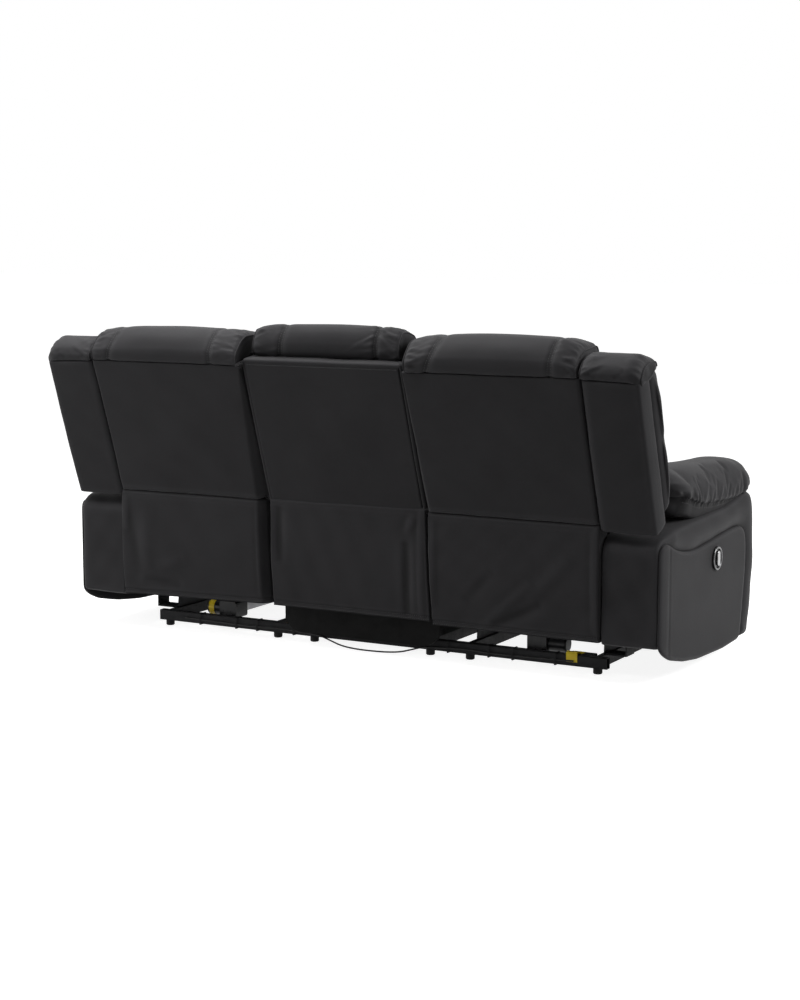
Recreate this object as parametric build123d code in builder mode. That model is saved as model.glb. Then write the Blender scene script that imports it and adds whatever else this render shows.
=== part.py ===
from build123d import *
import os
from math import atan2, cos, degrees, dist, hypot, pi, radians, sin, tan

# Three-seat sofa: two powered reclining end seats and a centre seat whose back folds down.
# Millimetres, +Z up, the front faces -Y, the left seat is at +X, and the origin is on the floor.

os.makedirs("parts", exist_ok=True)

# Seats across the width
SEAT_PITCH = 560.0  # width of one seat module
SEAT_GAP = 6.0  # gap between neighbouring modules
SEAT_HALF = (SEAT_PITCH - SEAT_GAP) / 2
COVER_EASE = 4.0  # what a cushion stands back from its module's side
END_SEAT_X = SEAT_PITCH  # middle of an end seat

# Clearances
GLUE_LINE = 0.2  # between boards of one frame
EASE = 0.6  # between firm pieces and what carries them
SOFT_EASE = 2.5  # between soft pieces
PIVOT_EASE = 0.08  # radial, rivet in its hole
PLATE_EASE = 1.0  # between plates that slide past each other

# Base frame of square tube on short feet
FOOT_HEIGHT = 17.0
FOOT_RADIUS = 14.0
FOOT_CHAMFER = 2.5
RAIL_HEIGHT = 34.0
RAIL_DEPTH = 26.0
RAIL_WALL = 2.0
RAIL_CORNER = 3.0
RAIL_OVERHANG = 33.0  # cross rail past the outermost side rail
SIDE_RAIL_WIDTH = 20.0
REAR_RAIL_Y = 156.0
FRONT_RAIL_Y = -311.0
MECH_SIDE = 65.0  # module's side to each side rail of an end seat
MECH_HALF = SEAT_HALF - MECH_SIDE
CENTRE_RAIL_SIDE = 67.0  # the same in the centre seat
CENTRE_RAIL_X = SEAT_HALF - CENTRE_RAIL_SIDE
RAIL_MID = FOOT_HEIGHT + RAIL_HEIGHT / 2
RAIL_TOP = FOOT_HEIGHT + RAIL_HEIGHT
RAIL_LENGTH = 2 * (END_SEAT_X + MECH_HALF + RAIL_OVERHANG)
REAR_RAIL_FRONT = REAR_RAIL_Y - RAIL_DEPTH / 2
REAR_RAIL_BACK = REAR_RAIL_Y + RAIL_DEPTH / 2
FRONT_RAIL_BACK = FRONT_RAIL_Y + RAIL_DEPTH / 2
MECH_LINES = [END_SEAT_X - MECH_HALF, END_SEAT_X + MECH_HALF]
RAIL_LINES = [-x for x in MECH_LINES] + [-CENTRE_RAIL_X, CENTRE_RAIL_X] + MECH_LINES

# Reclining back: places on it are (forward from its rear face, up along it from its lower seam)
LEAN = radians(19.1)
SEAM_Y = 321.0  # lower seam of the rear cover
SEAM_Z = 469.0
BACK_RISE = 452.0  # lower seam to upper seam
COVER_THICK = 14.0
COVER_SIDE = 6.0
COVER_RETURN = 92.0  # depth of the cover's side strips
BACK_BOARD = 12.0
STILE_WIDTH = 34.0
STILE_DEPTH = 26.0
BACK_CUSHION = 132.0
BUSTLE_SPLIT = 205.0  # seam between lower and upper back cushion
BUSTLE_DROP = 118.0  # lower cushion below the lower seam
BACK_CROWN = 20.0
BACK_DRAW = 16.0
PILLOW_RISE = 86.0
PILLOW_CROWN = 15.0
PILLOW_DRAW = 13.0
PILLOW_BACK = 26.0  # upper rear edge, forward of the rear face
PILLOW_FRONT = 118.0
PILLOW_TILT = 4.0

# Recline pivot and the plates that carry it
PIVOT_Y = 291.0
PIVOT_Z = 456.0
PIVOT_RADIUS = 8.0
PIVOT_BOSS = 15.0
RIVET_HEAD = 4.0  # head over shank radius
RIVET_HEAD_THICK = 2.5
MECH_PLATE = 3.0

# Seat frame and cushion of an end seat
SEAT_FRONT = -411.0
SEAT_REAR = 91.0
SEAT_BOARD = 20.0
SEAT_BOARD_BOTTOM = 285.0
SEAT_BOARD_TOP = 345.0
SPRING_WIRE = 4.0
SPRING_COUNT = 4
SPRING_LOOPS = 12
SPRING_SWING = 22.0
SPRING_BEND = 9.0
CUSHION_TOP = 476.0
CUSHION_CROWN = 16.0
CUSHION_DRAW = 14.0

# Footrest on a pair of folding links at each side, pivots given closed, as (y, z)
LINK_A = (-255.0, 217.0)
LINK_B = (-376.6, 43.3)
LINK_C = (-379.0, 255.3)
LINK_WIDTH = 28.0
LINK_PIN = 5.0
FOOTREST_SIDE = 17.0  # module's side to the footrest
FOOTREST_HALF = SEAT_HALF - FOOTREST_SIDE
FOOTREST_BOTTOM = 112.0
FOOTREST_TOP = 400.0
FOOTREST_BOARD = 15.0
FOOTREST_BACK = -419.0
FOOTREST_PAD = 16.0
FOOTREST_CROWN = 14.0

# Slide of the seat on its base plates
SLIDE_TRAVEL = 40.0
SLIDE_PIN = 6.0
SLIDE_Z = 222.0
SLIDE_PINS_Y = (-100.0, 40.0)
BASE_PLATE_TOP = 242.0
BASE_PLATE_FRONT = -200.0
BASE_PLATE_REAR = 110.0

# Arms
ARM_GAP = 8.0
ARM_WIDTH = 164.0
ARM_WALL = 16.0
ARM_REAR = 306.0
ARM_FRONT = -486.5  # most forward point of the front bulge
ARM_BOTTOM = 42.0
ARM_REAR_BOTTOM = 127.0
ARM_TOP = 462.0
ARM_REAR_TOP = 440.0
ARM_CORNER = 24.0
ARM_NOSE = 60.0  # rounded upper front corner, along the arm
ARM_NOSE_DROP = 40.0
ARM_BULGE_LOW = 30.0  # lower front corner behind the bulge
ARM_BULGE_HIGH = 14.0
ARM_SWEEP = 220.0  # rising sweep of the lower edge at the rear
ARM_INNER = 1.5 * SEAT_PITCH + ARM_GAP
ARM_OUTER = ARM_INNER + ARM_WIDTH
PANEL_THICK = 16.0
PANEL_ROUND = 6.0
PANEL_CORNER = 16.0
PANEL_INSET = 2.0
PANEL_DROP = 18.0  # below the arm's upper rear edge
PANEL_SWEEP = 0.276
PANEL_REAR_DROP = 0.78
# Upper edge, rear to front and down: share of the arm's depth, share of the panel's height below its top
PANEL_WAVE = [
    (0.0, 0.016),
    (0.075, 0.012),
    (0.308, 0.13),
    (0.466, 0.152),
    (0.637, 0.123),
    (0.82, 0.07),
    (0.893, 0.088),
    (0.931, 0.178),
    (0.928, 0.42),
    (0.891, 1.0),
]
PAD_OVERHANG = 12.0  # pad past the arm's outer face, before its crown
PAD_REAR = 194.0
PAD_FRONT = -470.0
PAD_TOP = 614.0
PAD_CROWN = 20.0
# Along the pad: share of its length from the rear, narrower each side, bottom up, top down
PAD_FORM = [
    (0.0, 24, 8, 46),
    (0.042, 8, 2, 12),
    (0.166, 1, 0, 0),
    (0.5, 0, 0, 0),
    (0.82, 1, 0, 4),
    (0.949, 10, 2, 30),
    (1.0, 26, 8, 76),
]
BRACKET_WIDTH = 60.0
BRACKET_RISE = 80.0
BRACKET_THICK = 4.0
BRACKETS_Y = (-150.0, 90.0)

# Round control on each arm's outer panel
CONTROL_Y = -134.0
CONTROL_Z = 326.0
BEZEL_RADIUS = 36.0
BEZEL_INNER = 29.5
BEZEL_HEIGHT = 8.0
BEZEL_ROUND = 2.5
FACE_THICK = 2.5
ROCKER_WIDTH = 20.0
ROCKER_HEIGHT = 46.0
ROCKER_THICK = 5.5
ROCKER_ROUND = 1.5
ROCKER_LIFT = 2.5  # free space under the rocker
ROCKER_PIN = 1.6
ROCKER_LUG = 3.0

# Wings at the outer side of each reclining back
WING_WIDTH = 184.0
WING_THICK = 62.0
WING_PAD = 66.0
WING_BOTTOM = 8.0  # along the back, below the lower seam
WING_PAD_BOTTOM = 55.0
WING_DEPTH = WING_THICK + WING_PAD
WING_CAP = 58.0
CAP_CROWN = 8.0
CAP_BACK = 16.0
CAP_FRONT = 30.0
WING_ROUND = 18.0

# Hanging cloth below the backs
CLOTH_THICK = 3.0
CLOTH_DROP = 330.0
CLOTH_TUCK = 6.0  # hem forward of the seam
CLOTH_FOLD = 5.0
CLOTH_BELLY = 6.0  # slack between seam and hem
CLOTH_STATIONS = 9

# Centre seat, fixed back panel and fold-down back
CENTRE_SET_BACK = 8.0  # panel forward of the end seats' rear faces
CENTRE_PANEL = 56.0
PANEL_FRONT = CENTRE_SET_BACK + CENTRE_PANEL
CENTRE_PANEL_RISE = 474.0
CENTRE_PANEL_DROP = 28.0
CENTRE_PANEL_ROUND = 8.0
TABLE_GAP = 4.0
TABLE_BOARD = 24.0
TABLE_SIDE = 25.0  # module's side to the fold-down back
TABLE_HALF = SEAT_HALF - TABLE_SIDE
TABLE_PAD = 90.0
TABLE_DROP = 8.0  # fold-down board below the fixed panel's upper edge
TABLE_RISE = CENTRE_PANEL_RISE - TABLE_DROP
CENTRE_PILLOW_BACK = 14.0
CENTRE_PILLOW_FRONT = 64.0
TABLE_HINGE = (150.0, 25.0)
HINGE_RADIUS = 6.0
CHEEK_WIDTH = 20.0
CHEEK_RISE = 50.0
CENTRE_REAR = 224.0
CENTRE_BOARD = 18.0
CENTRE_CUSHION_TOP = 470.0
CENTRE_BOARD_DROP = 40.0  # lower edge of the rear board above the floor
CENTRE_BOARD_ROUND = 60.0
POST_WIDTH = 40.0
POST_DEPTH = 14.0

# Drive of each end seat
DRIVE_Z = 65.0
TRACK_WIDTH = 36.0
TRACK_HEIGHT = 26.0
TRACK_WALL = 2.0
SCREW_RADIUS = 5.0
NUT_LENGTH = 40.0
NUT_START = 15.0  # middle of the nut with the seat closed
GEARBOX_WIDTH = 64.0
GEARBOX_DEPTH = 70.0
GEARBOX_HEIGHT = 56.0
MOTOR_RADIUS = 26.0
MOTOR_LENGTH = 58.0
MOTOR_ROUND = 6.0
GEARBOX_ROUND = 8.0
GEARBOX_STANDOFF = 12.0  # from the rear rail
MOUNT_HALF = 20.0
SUPPLY_WIDTH = 78.0
SUPPLY_DEPTH = 46.0
SUPPLY_HEIGHT = 32.0
SUPPLY_ROUND = 5.0

# Wiring along the rear rail
CABLE_RADIUS = 2.5
CABLE_EASE = 0.5
CABLE_SAG = 5.0
BEND_SHARE = 0.45  # of the shorter run, taken by a bend
CABLE_END = 72.0  # tied cable's end to the outermost side rail
CABLE_END_X = END_SEAT_X + MECH_HALF - CABLE_END
TIE_WIDTH = 4.5
TIE_THICK = 1.5
TIE_SHARES = (0.2, 0.43, 0.83)  # along the tied cable past an end seat's inner side rail


def keep(piece, name):
    piece.label = name
    export_step(piece, f"parts/{name}.step")


def keep_pair(piece, name):
    keep(piece, f"left_{name}")
    with BuildPart() as twin:
        mirror(piece, about=Plane.YZ)
    keep(twin.part, f"right_{name}")


def keep_both_sides(piece, name):
    with BuildPart() as both:
        add(piece)
        mirror(piece, about=Plane.YZ)
    keep(both.part, name)


def on_back(forward, up):
    y = SEAM_Y + up * sin(LEAN) - forward * cos(LEAN)
    z = SEAM_Z + up * cos(LEAN) + forward * sin(LEAN)
    return (y, z)


def slab(points, x_low, x_high, corner=0.0):
    with BuildPart() as piece:
        with BuildSketch(Plane.YZ.offset(x_low)) as face:
            with BuildLine():
                Polyline(*points, close=True)
            make_face()
            if corner:
                fillet(face.vertices(), corner)
        extrude(amount=x_high - x_low)
    return piece.part


def back_slab(forward, up, x_low, x_high, corner=0.0):
    corners = [(forward[0], up[0]), (forward[1], up[0]), (forward[1], up[1]), (forward[0], up[1])]
    return slab([on_back(*c) for c in corners], x_low, x_high, corner)


def block(x, y, z):
    with BuildPart() as piece:
        with Locations(((x[0] + x[1]) / 2, (y[0] + y[1]) / 2, (z[0] + z[1]) / 2)):
            Box(x[1] - x[0], y[1] - y[0], z[1] - z[0])
    return piece.part


def group(pieces):
    with BuildPart() as node:
        for piece in pieces:
            add(piece)
    return node.part


def drawn_in(corners, amount):
    middle = [sum(c[k] for c in corners) / len(corners) for k in (0, 1)]
    moved = []
    for c in corners:
        away = hypot(c[0] - middle[0], c[1] - middle[1])
        keep_share = 1 - min(amount / away, 0.9)
        moved.append(tuple(middle[k] + (c[k] - middle[k]) * keep_share for k in (0, 1)))
    return moved


def crowned_outline(corners, crowns):
    middle = [sum(c[k] for c in corners) / len(corners) for k in (0, 1)]
    for start, end, crown in zip(corners, corners[1:] + corners[:1], crowns):
        if crown == 0:
            Line(start, end)
            continue
        half = [(start[k] + end[k]) / 2 for k in (0, 1)]
        normal = (end[1] - start[1], start[0] - end[0])
        outward = normal[0] * (half[0] - middle[0]) + normal[1] * (half[1] - middle[1])
        scale = crown / hypot(*normal) * (1 if outward > 0 else -1)
        ThreePointArc(start, (half[0] + normal[0] * scale, half[1] + normal[1] * scale), end)


# Along a padded piece: share of its length, and how far its section is drawn in there
PAD_STATIONS = [(0.0, 1.0), (0.06, 0.35), (0.18, 0.04), (0.5, 0.0), (0.82, 0.04), (0.94, 0.35), (1.0, 1.0)]


def padded(x_low, x_high, corners, crowns, draw):
    with BuildPart() as pad:
        for share, pull in PAD_STATIONS:
            with BuildSketch(Plane.YZ.offset(x_low + share * (x_high - x_low))):
                with BuildLine():
                    crowned_outline(drawn_in(corners, pull * draw), [c * (1 - pull / 2) for c in crowns])
                make_face()
        loft()
    return pad.part


def disc(point, radius, x_low, x_high):
    with BuildPart() as piece:
        with BuildSketch(Plane.YZ.offset(x_low)):
            with Locations(point):
                Circle(radius)
        extrude(amount=x_high - x_low)
    return piece.part


def rivet(point, radius, out_of, through, side, line):
    """Shank from a plate's face outwards (side) through the next plate, with a head past it."""
    ends = sorted([line + side * out_of, line + side * (out_of + through)])
    top = out_of + through
    head = sorted([line + side * top, line + side * (top + RIVET_HEAD_THICK)])
    return [disc(point, radius, *ends), disc(point, radius + RIVET_HEAD, *head)]


def fused(solids, holes=()):
    with BuildPart() as piece:
        for solid in solids:
            add(solid)
        for hole in holes:
            add(hole, mode=Mode.SUBTRACT)
    return piece.part


def tube(points, radii, radius):
    with BuildPart() as piece:
        with BuildLine() as path:
            FilletPolyline(*points, radius=radii)
        with BuildSketch(Plane(origin=path.line @ 0, z_dir=path.line % 0)):
            Circle(radius)
        sweep(path=path.line)
    return piece.part


# Base: cross rails, side rails, feet and arm brackets
with BuildPart() as cross_rails:
    with BuildSketch(Plane.YZ.offset(-RAIL_LENGTH / 2)):
        with Locations((REAR_RAIL_Y, RAIL_MID), (FRONT_RAIL_Y, RAIL_MID)):
            RectangleRounded(RAIL_DEPTH, RAIL_HEIGHT, RAIL_CORNER)
            Rectangle(RAIL_DEPTH - 2 * RAIL_WALL, RAIL_HEIGHT - 2 * RAIL_WALL, mode=Mode.SUBTRACT)
    extrude(amount=RAIL_LENGTH)
keep(cross_rails.part, "cross_rails")

with BuildPart() as side_rails:
    with BuildSketch(Plane.XZ.offset(-REAR_RAIL_FRONT)):
        with Locations(*[(x, RAIL_MID) for x in RAIL_LINES]):
            Rectangle(SIDE_RAIL_WIDTH, RAIL_HEIGHT)
            Rectangle(SIDE_RAIL_WIDTH - 2 * RAIL_WALL, RAIL_HEIGHT - 2 * RAIL_WALL, mode=Mode.SUBTRACT)
    extrude(amount=REAR_RAIL_FRONT - FRONT_RAIL_BACK)
keep(side_rails.part, "side_rails")

with BuildPart() as floor_feet:
    with Locations(*[(x, y, 0) for x in RAIL_LINES for y in (FRONT_RAIL_Y, REAR_RAIL_Y)]):
        Cylinder(FOOT_RADIUS, FOOT_HEIGHT, align=(Align.CENTER, Align.CENTER, Align.MIN))
    chamfer(floor_feet.edges().group_by(Axis.Z)[0], FOOT_CHAMFER)
keep(floor_feet.part, "floor_feet")

BRACKET_X = END_SEAT_X + MECH_HALF + MECH_PLATE / 2 + PLATE_EASE
with BuildPart() as arm_brackets:
    for bracket_y in BRACKETS_Y:
        with BuildSketch(Plane.XZ.offset(-bracket_y - BRACKET_WIDTH / 2)):
            with BuildLine():
                Polyline(
                    (BRACKET_X, RAIL_TOP),
                    (ARM_INNER, RAIL_TOP),
                    (ARM_INNER, RAIL_TOP + BRACKET_RISE),
                    (ARM_INNER - BRACKET_THICK, RAIL_TOP + BRACKET_RISE),
                    (ARM_INNER - BRACKET_THICK, RAIL_TOP + BRACKET_THICK),
                    (BRACKET_X, RAIL_TOP + BRACKET_THICK),
                    close=True,
                )
            make_face()
    extrude(amount=BRACKET_WIDTH)
    mirror(about=Plane.YZ)
keep(arm_brackets.part, "arm_brackets")

# Base plates of the two mechanisms, slotted for the seat's slide pins
base_plates = []
for line_x in MECH_LINES:
    slots = []
    for pin_y in SLIDE_PINS_Y:
        with BuildPart() as slot:
            with BuildSketch(Plane.YZ.offset(line_x - MECH_PLATE)):
                with Locations((pin_y - SLIDE_TRAVEL / 2, SLIDE_Z)):
                    SlotCenterToCenter(SLIDE_TRAVEL, 2 * (SLIDE_PIN + PIVOT_EASE))
            extrude(amount=2 * MECH_PLATE)
        slots.append(slot.part)
    plate_outline = [
        (BASE_PLATE_FRONT, RAIL_TOP),
        (BASE_PLATE_FRONT, BASE_PLATE_TOP),
        (BASE_PLATE_REAR - SEAT_BOARD, BASE_PLATE_TOP),
        (BASE_PLATE_REAR, RAIL_TOP),
    ]
    plate = slab(plate_outline, line_x - MECH_PLATE / 2, line_x + MECH_PLATE / 2)
    base_plates.append(fused([plate], slots))
keep_both_sides(group(base_plates), "mech_base_plates")

# Seat plates carry the slide pins, the link pivots and the recline pivot
SEAT_PLATE_OUT = MECH_PLATE / 2 + PLATE_EASE
SEAT_PLATE_FACE = SEAT_PLATE_OUT + MECH_PLATE
PLATE_TOP = SEAT_BOARD_TOP
POST_BACK = PIVOT_Y + PIVOT_BOSS - PLATE_EASE
seat_plates = []
for side, line_x in zip((-1, 1), MECH_LINES):
    faces = sorted([line_x + side * SEAT_PLATE_OUT, line_x + side * SEAT_PLATE_FACE])
    outline = [
        (LINK_A[0] - LINK_WIDTH / 2, LINK_A[1] - LINK_WIDTH / 2),
        (LINK_A[0] - LINK_WIDTH / 2, PLATE_TOP),
        (PIVOT_Y - 4 * PIVOT_BOSS, PLATE_TOP),
        (PIVOT_Y - PIVOT_BOSS, PIVOT_Z),
        (POST_BACK, PIVOT_Z),
        (PIVOT_Y, SEAT_BOARD_BOTTOM),
        (SEAT_REAR, LINK_A[1] - LINK_WIDTH / 2),
    ]
    plate = slab(outline, *faces)
    solids = [plate, disc((PIVOT_Y, PIVOT_Z), PIVOT_BOSS, *faces)]
    solids += rivet(LINK_A, LINK_PIN, -SEAT_PLATE_OUT, MECH_PLATE + 2 * PLATE_EASE, -side, line_x)
    through = MECH_PLATE + 2 * PLATE_EASE
    for pin_y in SLIDE_PINS_Y:
        solids += rivet((pin_y, SLIDE_Z), SLIDE_PIN, -SEAT_PLATE_OUT, through, -side, line_x)
    solids += rivet((PIVOT_Y, PIVOT_Z), PIVOT_RADIUS, SEAT_PLATE_FACE, through, side, line_x)
    seat_plates.append(fused(solids))
keep_pair(group(seat_plates), "seat_plates")

# End seat frame, springs and cushion
FRAME_IN = MECH_HALF + SEAT_PLATE_FACE  # seat's middle to the inner face of a side board
FRAME_OUT = FRAME_IN + SEAT_BOARD
board_z = (SEAT_BOARD_BOTTOM, SEAT_BOARD_TOP)
side_y = (SEAT_FRONT + SEAT_BOARD + GLUE_LINE, SEAT_REAR)
full_x = (END_SEAT_X - FRAME_OUT, END_SEAT_X + FRAME_OUT)
side_boards = [
    block((full_x[0], END_SEAT_X - FRAME_IN), side_y, board_z),
    block((END_SEAT_X + FRAME_IN, full_x[1]), side_y, board_z),
]
plate_gap = MECH_HALF + SEAT_PLATE_OUT - GLUE_LINE
rear_x = (END_SEAT_X - plate_gap, END_SEAT_X + plate_gap)
end_boards = [
    block(full_x, (SEAT_FRONT, SEAT_FRONT + SEAT_BOARD), board_z),
    block(rear_x, (SEAT_REAR - SEAT_BOARD, SEAT_REAR), board_z),
]
keep_pair(group(side_boards + end_boards), "seat_frame")

SPRING_Z = SEAT_BOARD_TOP + SPRING_WIRE / 2
springs = []
for row in range(SPRING_COUNT):
    spring_x = END_SEAT_X + (row + 0.5 - SPRING_COUNT / 2) * 2 * FRAME_IN / SPRING_COUNT
    run = (SEAT_REAR - SEAT_FRONT - SEAT_BOARD) / SPRING_LOOPS
    turns = []
    for loop in range(SPRING_LOOPS):
        swing = SPRING_SWING * (1 if loop % 2 else -1)
        near = SEAT_FRONT + SEAT_BOARD / 2 + loop * run
        turns += [(spring_x + swing, near, SPRING_Z), (spring_x + swing, near + run, SPRING_Z)]
    springs.append(tube(turns, SPRING_BEND, SPRING_WIRE / 2))
keep_pair(group(springs), "seat_springs")

CUSHION_HALF = SEAT_HALF - COVER_EASE
CUSHION_BOTTOM = SEAT_BOARD_TOP + SPRING_WIRE + SOFT_EASE
end_cushion = padded(
    END_SEAT_X - CUSHION_HALF,
    END_SEAT_X + CUSHION_HALF,
    [
        (SEAT_FRONT, CUSHION_BOTTOM),
        (SEAT_FRONT, CUSHION_TOP),
        (SEAT_REAR, CUSHION_TOP),
        (SEAT_REAR, CUSHION_BOTTOM),
    ],
    [COVER_EASE, CUSHION_CROWN, 0, 0],
    CUSHION_DRAW,
)
keep_pair(end_cushion, "seat_cushion")

# Reclining back: frame with pivot brackets, rear cover, cushions, head pillow
BOARD_BACK = COVER_THICK + EASE
BOARD_FRONT = BOARD_BACK + BACK_BOARD
STILE_FRONT = BOARD_FRONT + STILE_DEPTH
BRACKET_OUT = SEAT_PLATE_FACE + PLATE_EASE
BRACKET_FACE = BRACKET_OUT + MECH_PLATE
STILE_IN = MECH_HALF + BRACKET_FACE + GLUE_LINE
FRAME_HALF = STILE_IN + STILE_WIDTH
FRAME_RISE = BACK_RISE - EASE
frame_up = (2 * EASE, FRAME_RISE)
frame_x = (END_SEAT_X - FRAME_HALF, END_SEAT_X + FRAME_HALF)
back_board = back_slab((BOARD_BACK, BOARD_FRONT), frame_up, *frame_x)
stiles = [
    back_slab((BOARD_FRONT, STILE_FRONT), frame_up, frame_x[0], END_SEAT_X - STILE_IN),
    back_slab((BOARD_FRONT, STILE_FRONT), frame_up, END_SEAT_X + STILE_IN, frame_x[1]),
]
bar_x = (END_SEAT_X - FRAME_IN, END_SEAT_X + FRAME_IN)
cross_bars = []
for low in (frame_up[0], BUSTLE_SPLIT, FRAME_RISE - STILE_WIDTH):
    cross_bars.append(back_slab((BOARD_FRONT, STILE_FRONT), (low, low + STILE_WIDTH), *bar_x))
brackets = []
for side, line_x in zip((-1, 1), MECH_LINES):
    faces = sorted([line_x + side * BRACKET_OUT, line_x + side * BRACKET_FACE])
    strap = back_slab((BOARD_FRONT + GLUE_LINE, STILE_FRONT), (-2 * PIVOT_BOSS, BUSTLE_SPLIT), *faces)
    boss = disc((PIVOT_Y, PIVOT_Z), PIVOT_BOSS, *faces)
    hole = disc((PIVOT_Y, PIVOT_Z), PIVOT_RADIUS + PIVOT_EASE, *faces)
    brackets.append(fused([strap, boss], [hole]))
keep_pair(group([fused([back_board] + stiles + cross_bars)] + brackets), "back_frame")

end_low = END_SEAT_X - SEAT_HALF
end_high = END_SEAT_X + SEAT_HALF
cover = back_slab((0, COVER_THICK), (0, BACK_RISE), end_low, end_high)
cover_sides = [
    back_slab((0, COVER_RETURN), (0, BACK_RISE), end_low, end_low + COVER_SIDE),
    back_slab((0, COVER_RETURN), (0, BACK_RISE), end_high - COVER_SIDE, end_high),
]
with BuildPart() as back_cover:
    add(fused([cover] + cover_sides))
    straight = back_cover.edges().filter_by(GeomType.LINE).group_by(Axis.X)
    rear_edges = [ends.sort_by(Axis.Y)[-1] for ends in (straight[0], straight[-1])]
    fillet(rear_edges, COVER_SIDE - PLATE_EASE)
keep_pair(back_cover.part, "back_cover")

CUSHION_BACK = STILE_FRONT + SOFT_EASE
CUSHION_FACE = CUSHION_BACK + BACK_CUSHION
back_low = end_low + COVER_SIDE + COVER_EASE
back_high = end_high - COVER_SIDE - COVER_EASE
back_tiers = []
for low, high in ((-BUSTLE_DROP, BUSTLE_SPLIT - SOFT_EASE), (BUSTLE_SPLIT, BACK_RISE - SOFT_EASE)):
    tier = [(CUSHION_BACK, low), (CUSHION_BACK, high), (CUSHION_FACE, high), (CUSHION_FACE, low)]
    tier_corners = [on_back(*c) for c in tier]
    back_tiers.append(padded(back_low, back_high, tier_corners, [0, 0, BACK_CROWN, 0], BACK_DRAW))
keep_pair(group(back_tiers), "back_cushion")

pillow = [
    (2 * EASE, BACK_RISE + SOFT_EASE),
    (PILLOW_BACK, BACK_RISE + PILLOW_RISE - PILLOW_TILT),
    (PILLOW_FRONT, BACK_RISE + PILLOW_RISE),
    (CUSHION_FACE, BACK_RISE + SOFT_EASE),
]
head_pillow = padded(
    end_low + EASE,
    end_high - EASE,
    [on_back(*c) for c in pillow],
    [PILLOW_CROWN, PILLOW_CROWN, BACK_CROWN, 0],
    PILLOW_DRAW,
)
keep_pair(head_pillow, "head_pillow")

# Wing: rear shell, rolled cap and front pad
wing_low = end_high
wing_high = end_high + WING_WIDTH
with BuildPart() as wing_shell:
    add(back_slab((0, WING_THICK), (-WING_BOTTOM, BACK_RISE - EASE), wing_low, wing_high))
    outer_edges = wing_shell.edges().group_by(Axis.X)[-1]
    fillet(outer_edges.sort_by(Axis.Y)[-1:], WING_ROUND)
cap = [
    (2 * EASE, BACK_RISE + SOFT_EASE),
    (CAP_BACK, BACK_RISE + WING_CAP - CAP_CROWN),
    (WING_DEPTH - CAP_FRONT, BACK_RISE + WING_CAP - CAP_CROWN),
    (WING_DEPTH, BACK_RISE + SOFT_EASE),
]
cap_crowns = [CAP_CROWN, PILLOW_CROWN, CAP_CROWN, 0]
wing_cap = padded(wing_low, wing_high, [on_back(*c) for c in cap], cap_crowns, PILLOW_DRAW)
front = [
    (WING_THICK + SOFT_EASE, WING_PAD_BOTTOM),
    (WING_THICK + SOFT_EASE, BACK_RISE - SOFT_EASE),
    (WING_DEPTH - CAP_CROWN, BACK_RISE - SOFT_EASE),
    (WING_DEPTH - CAP_CROWN, WING_PAD_BOTTOM + CAP_CROWN),
]
wing_pad = padded(wing_low, wing_high, [on_back(*c) for c in front], [0, 0, PILLOW_CROWN, 0], PILLOW_DRAW)
keep_pair(group([wing_shell.part, wing_cap, wing_pad]), "wing")


# Cloth that hangs from the lower seam, with soft upright folds
def hanging_cloth(x_low, x_high, top):
    with BuildPart() as cloth:
        for station in range(CLOTH_STATIONS):
            share = station / (CLOTH_STATIONS - 1)
            fold = CLOTH_FOLD * sin(share * 3 * pi) * sin(share * pi)
            hem = (top[0] - CLOTH_TUCK - fold, top[1] - CLOTH_DROP)
            belly = ((top[0] + hem[0]) / 2 + CLOTH_BELLY + fold, (top[1] + hem[1]) / 2)
            with BuildSketch(Plane.YZ.offset(x_low + share * (x_high - x_low))):
                with BuildLine():
                    ThreePointArc(top, belly, hem)
                    Line(hem, (hem[0] - CLOTH_THICK, hem[1]))
                    ThreePointArc(
                        (hem[0] - CLOTH_THICK, hem[1]),
                        (belly[0] - CLOTH_THICK, belly[1]),
                        (top[0] - CLOTH_THICK, top[1]),
                    )
                    Line((top[0] - CLOTH_THICK, top[1]), top)
                make_face()
        loft()
    return cloth.part


cloth_top = on_back(EASE, -EASE)
keep_pair(hanging_cloth(end_low + COVER_SIDE, end_high, cloth_top), "back_flap")

# Footrest links: rear link from the seat plate, front link, then the footrest's ears
def link(start, end, pin_radius, out, side, line_x, tail):
    faces = sorted([line_x - side * out, line_x - side * (out + MECH_PLATE)])
    with BuildPart() as bar:
        with BuildSketch(Plane.YZ.offset(faces[0])):
            with Locations(((start[0] + end[0]) / 2, (start[1] + end[1]) / 2)):
                turn = degrees(atan2(end[1] - start[1], end[0] - start[0]))
                SlotCenterToCenter(dist(start, end), LINK_WIDTH, rotation=turn)
            with Locations(start):
                Circle(pin_radius + PIVOT_EASE, mode=Mode.SUBTRACT)
        extrude(amount=MECH_PLATE)
    return fused([bar.part] + tail)


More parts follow.
